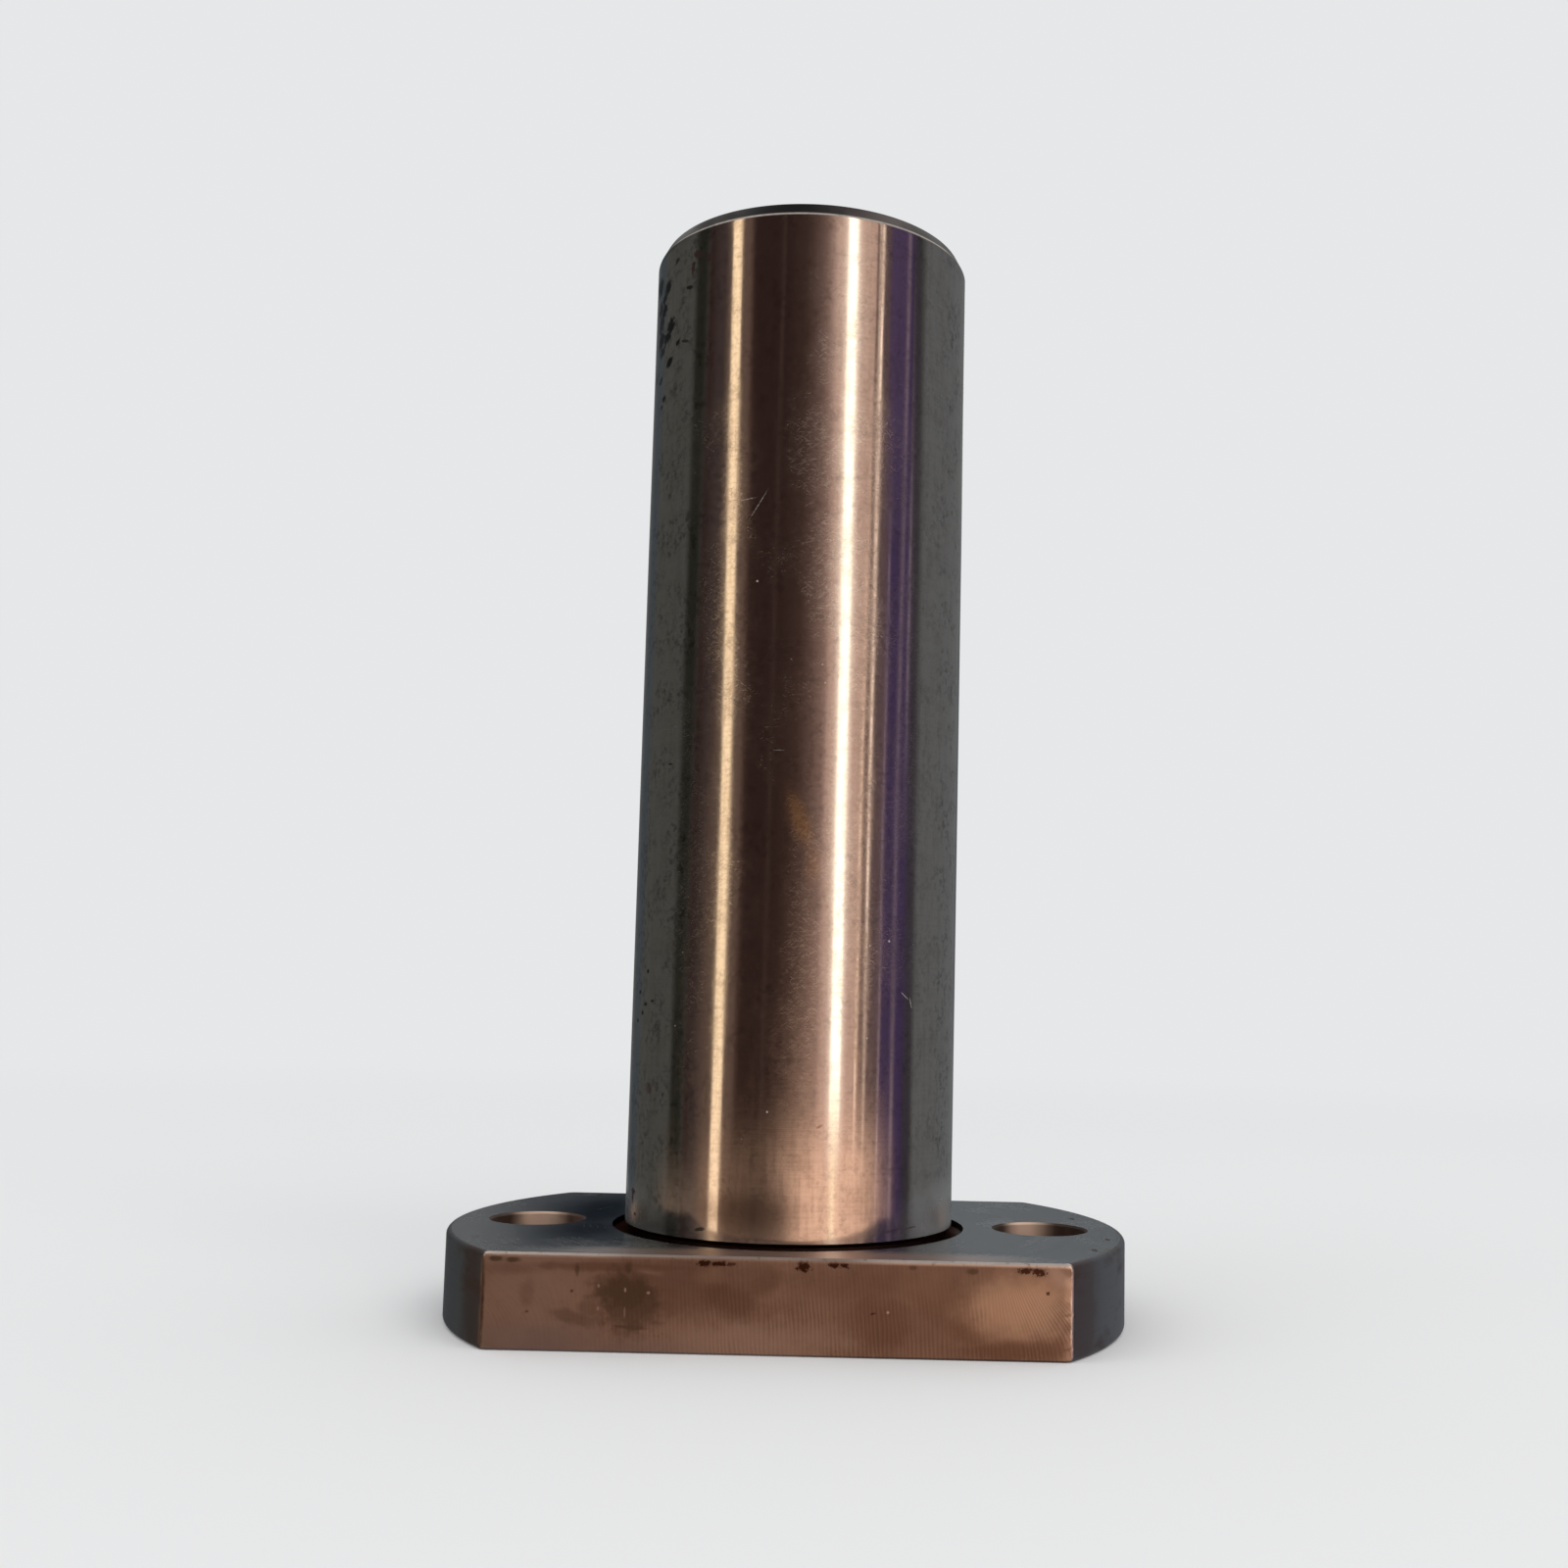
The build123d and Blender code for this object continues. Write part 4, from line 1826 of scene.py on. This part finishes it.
@dataclass(frozen=True)
class Eye:
    """The camera at the photograph's place, found from the object's own edges and holes.

    Args:
        place: Where it stands.
        right: The direction to the picture's right.
        up: The direction up the picture.
        focal_px: The focal length, in the picture's own pixels.
        centre_px: The pixel that it faces straight on, from the left and from the top.
        image_px: The picture's width and height.
        sensor: The sensor's width.
    """

    place: tuple[float, float, float] = (7.0416, -164.3732, 31.454)
    right: tuple[float, float, float] = (0.999762, 0.003108, 0.021575)
    up: tuple[float, float, float] = (-0.021133, -0.104306, 0.994321)
    focal_px: float = 1666.08
    centre_px: tuple[float, float] = (877.3, 834.53)
    image_px: float = 1600.0
    sensor: float = 36.0

    def build(self) -> None:
        """Makes the camera and gives it to the scene."""
        data = bpy.data.cameras.new("eye")
        data.sensor_width = self.sensor
        data.lens = self.focal_px / self.image_px * self.sensor
        data.shift_x = 0.5 - self.centre_px[0] / self.image_px
        data.shift_y = self.centre_px[1] / self.image_px - 0.5
        data.clip_start = 0.001
        data.clip_end = 50.0
        camera = new_object("eye", data)
        right, up = Vector(self.right).normalized(), Vector(self.up)
        back = right.cross(up).normalized()
        up = back.cross(right)
        turn = Matrix((right, up, back)).transposed().to_4x4()
        camera.matrix_world = Matrix.Translation(Vector(self.place) * MM) @ turn
        bpy.context.scene.camera = camera


@dataclass(frozen=True)
class Lamp:
    """A soft area lamp that faces the object.

    Args:
        name: The lamp's name.
        bearing: Its angle from the front, in degrees, to the right positive.
        lift: Its angle above the floor, in degrees.
        distance: How far it stands from the object's middle, in metres.
        size: Its width and height, in metres.
        level: Its own brightness, where 1 is white.
        colour: Its colour.
        aim: The height of the object's middle, in metres.
    """

    name: str
    bearing: float
    lift: float
    distance: float
    size: tuple[float, float]
    level: float
    colour: Colour = (1.0, 1.0, 1.0)
    aim: float = 0.05

    def build(self) -> None:
        """Makes the lamp. Its power is its level times pi times its area."""
        data = bpy.data.lights.new(self.name, "AREA")
        data.shape = "RECTANGLE"
        data.size, data.size_y = self.size
        data.energy = self.level * math.pi * self.size[0] * self.size[1]
        data.color = self.colour
        lamp = new_object(self.name, data)
        bearing, lift = math.radians(self.bearing), math.radians(self.lift)
        flat = math.cos(lift)
        away = Vector((math.sin(bearing) * flat, -math.cos(bearing) * flat, math.sin(lift)))
        lamp.location = Vector((0.0, 0.0, self.aim)) + away * self.distance
        lamp.rotation_euler = away.to_track_quat("Z", "Y").to_euler()
        lamp.visible_camera = False
        lamp.visible_glossy = False


@dataclass(frozen=True)
class Panel:
    """A panel of the tent: a band of bearings, and maybe of heights, in one colour.

    Args:
        centre: The bearing of its middle from the front, in degrees, to the right positive.
        reach: Half its width, in degrees.
        soft: How far its sides fade either way, in degrees.
        colour: Its brightness in red, green and blue, where 1 is white.
        low: The height that it starts at.
        high: The height that it ends at.
        fade: How far its ends fade either way.
        lean: How far it leans above lean_start, in degrees a millimetre, to the right positive.
        lean_start: The height that it leans from.
    """

    centre: float
    reach: float
    soft: float
    colour: Colour
    low: float | None = None
    high: float | None = None
    fade: float = 20.0
    lean: float = 0.0
    lean_start: float = 110.0

    def mask(self, bearing: Term, height: Term) -> Term:
        """Masks the panel.

        Args:
            bearing: The bearing of the point on the tent.
            height: Its height.

        Returns:
            1 on the panel and 0 off it.
        """
        if self.lean:
            bearing = bearing - (height - self.lean_start).most(0.0) * self.lean
        off = (bearing - self.centre).wrapped(180.0).size()
        mask = off.step(self.reach + self.soft, max(self.reach - self.soft, 0.0))
        if self.low is not None:
            mask = mask * height.step(self.low - self.fade, self.low + self.fade)
        if self.high is not None:
            mask = mask * height.step(self.high + self.fade, self.high - self.fade)
        return mask


@dataclass
class Studio:
    """A pale floor and room, soft lamps, and a tent that only reflections see.

    Args:
        pale: The room's colour to the eye.
        room_level: The brightness of the room's light.
        floor_radii: The radii of the floor's rings, in metres.
        floor_colour: The floor's colour near the object.
        floor_fade: The distances between which it fades into the room.
        tent_radius: The tent's radius, in metres.
        tent_foot: The height of its foot, in metres.
        tent_top: The height of its lid, in metres.
        tent_colour: Its brightness between the panels.
        lid_colour: Its brightness near the lid.
        lid_fade: The heights between which the lid's brightness starts.
        lid_middle: The brightness in the middle of the lid and the foot.
        lid_middle_fade: The distances from the axis between which that starts.
        lamps: The lamps.
    """

    pale: Colour = (0.79, 0.8, 0.81)
    room_level: float = 0.8
    floor_radii: tuple[float, ...] = (0.0, 0.3, 1.0, 6.0)
    floor_colour: Colour = (0.85, 0.86, 0.87)
    floor_fade: tuple[float, float] = (120.0, 520.0)
    tent_radius: float = 0.55
    tent_foot: float = -0.25
    tent_top: float = 0.9
    tent_colour: Colour = (0.1, 0.105, 0.1)
    lid_colour: Colour = (0.62, 0.61, 0.59)
    lid_fade: tuple[float, float] = (420.0, 560.0)
    lid_middle: Colour = (0.15, 0.147, 0.15)
    lid_middle_fade: tuple[float, float] = (400.0, 200.0)
    lamps: tuple[Lamp, ...] = (
        Lamp("key", 35.0, 45.0, 0.8, (0.5, 0.5), 1.6, (1.0, 0.97, 0.93)),
        Lamp("fill", -60.0, 35.0, 0.9, (0.6, 0.6), 0.6, (0.95, 0.97, 1.0)),
    )

    def build(self) -> None:
        """Builds the room, the floor, the tent and the lamps."""
        self.build_world()
        self.build_floor()
        self.build_tent()
        for lamp in self.lamps:
            lamp.build()
        bpy.context.scene.view_settings.view_transform = "Standard"

    def build_world(self) -> None:
        """The room is the pale colour to the eye, to reflections and through glass, and soft light else."""
        world = bpy.data.worlds.new("room")
        bpy.context.scene.world = world
        room = Nodes(world)
        rays = room.node("ShaderNodeLightPath", {}, {}).outputs
        seen = Term(room, rays["Is Camera Ray"])
        for name in ("Is Glossy Ray", "Is Transmission Ray"):
            seen = seen.most(Term(room, rays[name]))
        white = {"Color": (1.0, 1.0, 1.0), "Strength": self.room_level}
        soft = room.node("ShaderNodeBackground", {}, white).outputs[0]
        shown = room.node("ShaderNodeBackground", {}, {"Color": self.pale}).outputs[0]
        choice = room.node("ShaderNodeMixShader", {}, {0: seen, 1: soft, 2: shown}).outputs[0]
        room.node("ShaderNodeOutputWorld", {}, {0: choice})

    def disc(self, name: str, radii: Sequence[float], heights: Sequence[float]) -> bpy.types.Object:
        """Makes a surface from a profile that turns round the axis.

        Args:
            name: The surface's name.
            radii: The profile's radii, in metres.
            heights: Its heights, in metres.

        Returns:
            The surface.
        """
        angle = np.linspace(0.0, 2.0 * math.pi, DISC_COLUMNS)
        radius = np.array(radii)[:, None]
        level = np.repeat(np.array(heights)[:, None], len(angle), axis=1)
        grid = np.stack([radius * np.cos(angle), radius * np.sin(angle), level], axis=-1)
        quads = Skin.corners(*grid.shape[:2])
        mesh = bpy.data.meshes.new(name)
        mesh.from_pydata(grid.reshape(-1, 3).tolist(), [], quads.tolist())
        mesh.polygons.foreach_set("use_smooth", np.ones(len(mesh.polygons), bool))
        piece = new_object(name, mesh)
        return piece

    def build_floor(self) -> None:
        """The floor is matt near the object, where it takes the shadow, and fades into the room."""
        floor = self.disc("floor", self.floor_radii, (0.0,) * len(self.floor_radii))
        shader = Shader("floor_pale")
        fade = shader.radius().step(*self.floor_fade)
        matt = shader.node("ShaderNodeBsdfDiffuse", {}, {"Color": self.floor_colour}).outputs[0]
        sockets = {0: fade, 1: matt, 2: shader.glow(self.pale)}
        mixed = shader.node("ShaderNodeMixShader", {}, sockets).outputs[0]
        floor.data.materials.append(shader.closed(mixed))
        floor.visible_glossy = False

    def build_tent(self) -> None:
        """The tent is a closed drum, whose panels the steel shows as stripes from every side."""
        radius, foot, top = self.tent_radius, self.tent_foot, self.tent_top
        tent = self.disc("tent", (0.0, radius, radius, 0.0), (foot, foot, top, top))
        shader = Shader("tent_panels")
        bearing, height = shader.angle(), shader.z
        colour: Any = self.tent_colour
        for panel in TENT_PANELS:
            colour = shader.mix(panel.mask(bearing, height), colour, panel.colour)
        colour = shader.mix(height.step(*self.lid_fade), colour, self.lid_colour)
        colour = shader.mix(shader.radius().step(*self.lid_middle_fade), colour, self.lid_middle)
        tent.data.materials.append(shader.closed(shader.glow(colour)))
        shader.material.cycles.emission_sampling = "NONE"
        for kind in ("camera", "diffuse", "transmission", "volume_scatter", "shadow"):
            setattr(tent, f"visible_{kind}", False)


TENT_PANELS = (
    # the grey walls at both sides
    Panel(127.0, 34.0, 3.0, (0.165, 0.177, 0.188)),
    Panel(150.0, 9.0, 7.0, (0.165, 0.175, 0.18), low=130.0, fade=60.0),
    Panel(-120.0, 27.0, 3.0, (0.094, 0.098, 0.092)),
    Panel(-143.0, 9.0, 8.0, (0.07, 0.085, 0.1)),
    Panel(-84.0, 6.0, 3.0, (0.026, 0.028, 0.022)),
    # the dark brown room in front
    Panel(-28.0, 49.5, 3.0, (0.04, 0.022, 0.019)),
    Panel(-65.0, 6.0, 7.0, (0.07, 0.052, 0.05)),
    Panel(0.0, 9.0, 9.0, (0.07, 0.04, 0.033)),
    Panel(-18.0, 1.2, 1.2, (0.07, 0.043, 0.036)),
    # the warm lamp on the left
    Panel(-49.6, 6.0, 5.0, (0.24, 0.165, 0.14), lean=-0.0145),
    Panel(-58.0, 6.0, 6.0, (0.15, 0.1, 0.08), high=130.0, fade=90.0),
    Panel(-41.0, 3.4, 3.0, (0.17, 0.11, 0.088), lean=-0.0145),
    Panel(-49.7, 3.6, 0.7, (1.8, 1.4, 0.93), lean=-0.0145),
    # the window on the right, with its haze and its frame
    Panel(35.0, 21.0, 17.0, (0.5, 0.32, 0.27)),
    Panel(34.5, 15.0, 2.6, (0.8, 0.54, 0.445)),
    Panel(44.0, 11.0, 3.0, (0.78, 0.53, 0.43), low=250.0, fade=70.0),
    Panel(48.8, 1.9, 0.6, (0.22, 0.14, 0.118), low=-30.0, lean=0.01),
    Panel(44.0, 0.5, 0.5, (0.5, 0.34, 0.28), low=-30.0, high=260.0, fade=50.0, lean=0.0105),
    Panel(45.4, 0.55, 0.45, (2.1, 1.55, 1.15), low=-30.0, high=240.0, fade=60.0, lean=0.0105),
    Panel(31.0, 12.0, 8.0, (0.9, 0.64, 0.53), low=285.0, fade=35.0),
    Panel(31.2, 5.6, 2.5, (1.35, 1.08, 0.92)),
    Panel(31.3, 3.3, 0.9, (3.2, 2.95, 2.45), low=-24.0, fade=16.0),
    # the violet wall past it
    Panel(58.0, 5.0, 1.2, (0.15, 0.1, 0.108)),
    Panel(52.0, 0.7, 0.6, (1.0, 0.78, 0.64), low=-35.0),
    Panel(51.9, 0.7, 0.6, (2.3, 1.8, 1.45), low=45.0, fade=50.0, lean=0.0098),
    Panel(73.5, 11.5, 1.6, (0.07, 0.047, 0.125)),
    Panel(70.0, 9.0, 2.0, (0.105, 0.07, 0.155), low=270.0, fade=40.0),
    Panel(62.9, 0.5, 0.5, (0.62, 0.46, 0.52), high=230.0, fade=60.0, lean=0.009),
    Panel(74.2, 1.3, 1.1, (0.28, 0.21, 0.28), lean=0.0105),
    Panel(81.7, 0.9, 0.7, (0.5, 0.4, 0.48), low=135.0, fade=60.0, lean=0.006),
    Panel(88.0, 4.0, 2.0, (0.06, 0.054, 0.07), lean=-0.012),
    # the lit bench low down in front, with one shaded place
    Panel(-76.0, 21.0, 12.0, (0.27, 0.2, 0.155), high=-52.0, low=-190.0, fade=14.0),
    Panel(-49.0, 11.0, 8.0, (0.42, 0.26, 0.18), high=-36.0, low=-190.0, fade=14.0),
    Panel(-12.0, 32.0, 14.0, (0.24, 0.15, 0.105), high=-32.0, low=-85.0, fade=12.0),
    Panel(-4.0, 36.0, 16.0, (0.33, 0.22, 0.17), high=-85.0, low=-215.0, fade=12.0),
    Panel(31.0, 31.0, 22.0, (1.45, 0.92, 0.66), high=-30.0, low=-85.0, fade=22.0),
    Panel(40.0, 24.0, 22.0, (0.6, 0.4, 0.3), high=-95.0, low=-210.0, fade=20.0),
    Panel(-13.0, 15.0, 9.0, (0.085, 0.055, 0.045), high=-54.0, low=-74.0, fade=9.0),
    Panel(-49.9, 3.6, 0.7, (1.8, 1.35, 0.93), high=-20.0, low=-240.0),
    Panel(31.0, 1.3, 1.8, (1.9, 1.45, 1.0), high=-20.0, low=-90.0),
    # the back of the room, with windows that the front view hardly meets
    Panel(180.0, 20.0, 8.0, (0.17, 0.178, 0.185)),
    Panel(170.0, 10.0, 3.0, (0.105, 0.12, 0.13), low=20.0, high=190.0),
    Panel(-171.5, 6.4, 1.8, (0.004, 0.01, 0.018), low=0.0, high=240.0),
    Panel(180.0, 13.0, 2.5, (1.1, 1.12, 1.15), low=260.0, fade=40.0),
    Panel(180.0, 6.5, 1.5, (1.6, 1.6, 1.65), high=-30.0, fade=20.0),
    Panel(-157.0, 2.0, 1.0, (0.6, 0.55, 0.5), high=-60.0, fade=20.0),
)


def dress_packed_nodes(nodes: dict[str, bpy.types.Object]) -> None:
    """Gives the balls, retainers, seals and rings their finishes.

    Args:
        nodes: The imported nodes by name.
    """
    finishes = {
        "balls": BallFinish(),
        "retainer": MouldedFinish(
            "retainer_resin_moulded",
            (0.045, 0.045, 0.05),
            (0.09, 0.09, 0.09),
            roughness=0.42,
            grain=0.12,
            grain_depth=0.004,
        ),
        "seal": MouldedFinish(
            "seal_rubber_moulded",
            (0.018, 0.018, 0.02),
            (0.05, 0.05, 0.05),
            roughness=0.62,
            grain=0.09,
            grain_depth=0.006,
        ),
        "ring": SteelFinish("ring_spring_steel", Lay.TURNED, (0.36, 0.35, 0.34), (0.2, 0.18, 0.17)),
    }
    made = {ending: finish.material() for ending, finish in finishes.items()}
    for name, node in nodes.items():
        ending = name.rsplit("_", 1)[-1]
        if ending in made:
            node.data.materials.clear()
            node.data.materials.append(made[ending])
            log.info("dressed %s", name)


def main() -> None:
    """Builds the pieces in order and reports each."""
    logging.basicConfig(level=logging.INFO, format="%(message)s")
    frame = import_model()
    Eye().build()
    log.info("camera placed")
    sleeve = FlangedSleeve().build()
    log.info("%s has %d faces", sleeve.name, len(sleeve.data.polygons))
    dress_packed_nodes(frame["nodes"])
    Studio().build()
    log.info("studio built")
    bpy.context.view_layer.update()


if __name__ == "__main__":
    main()
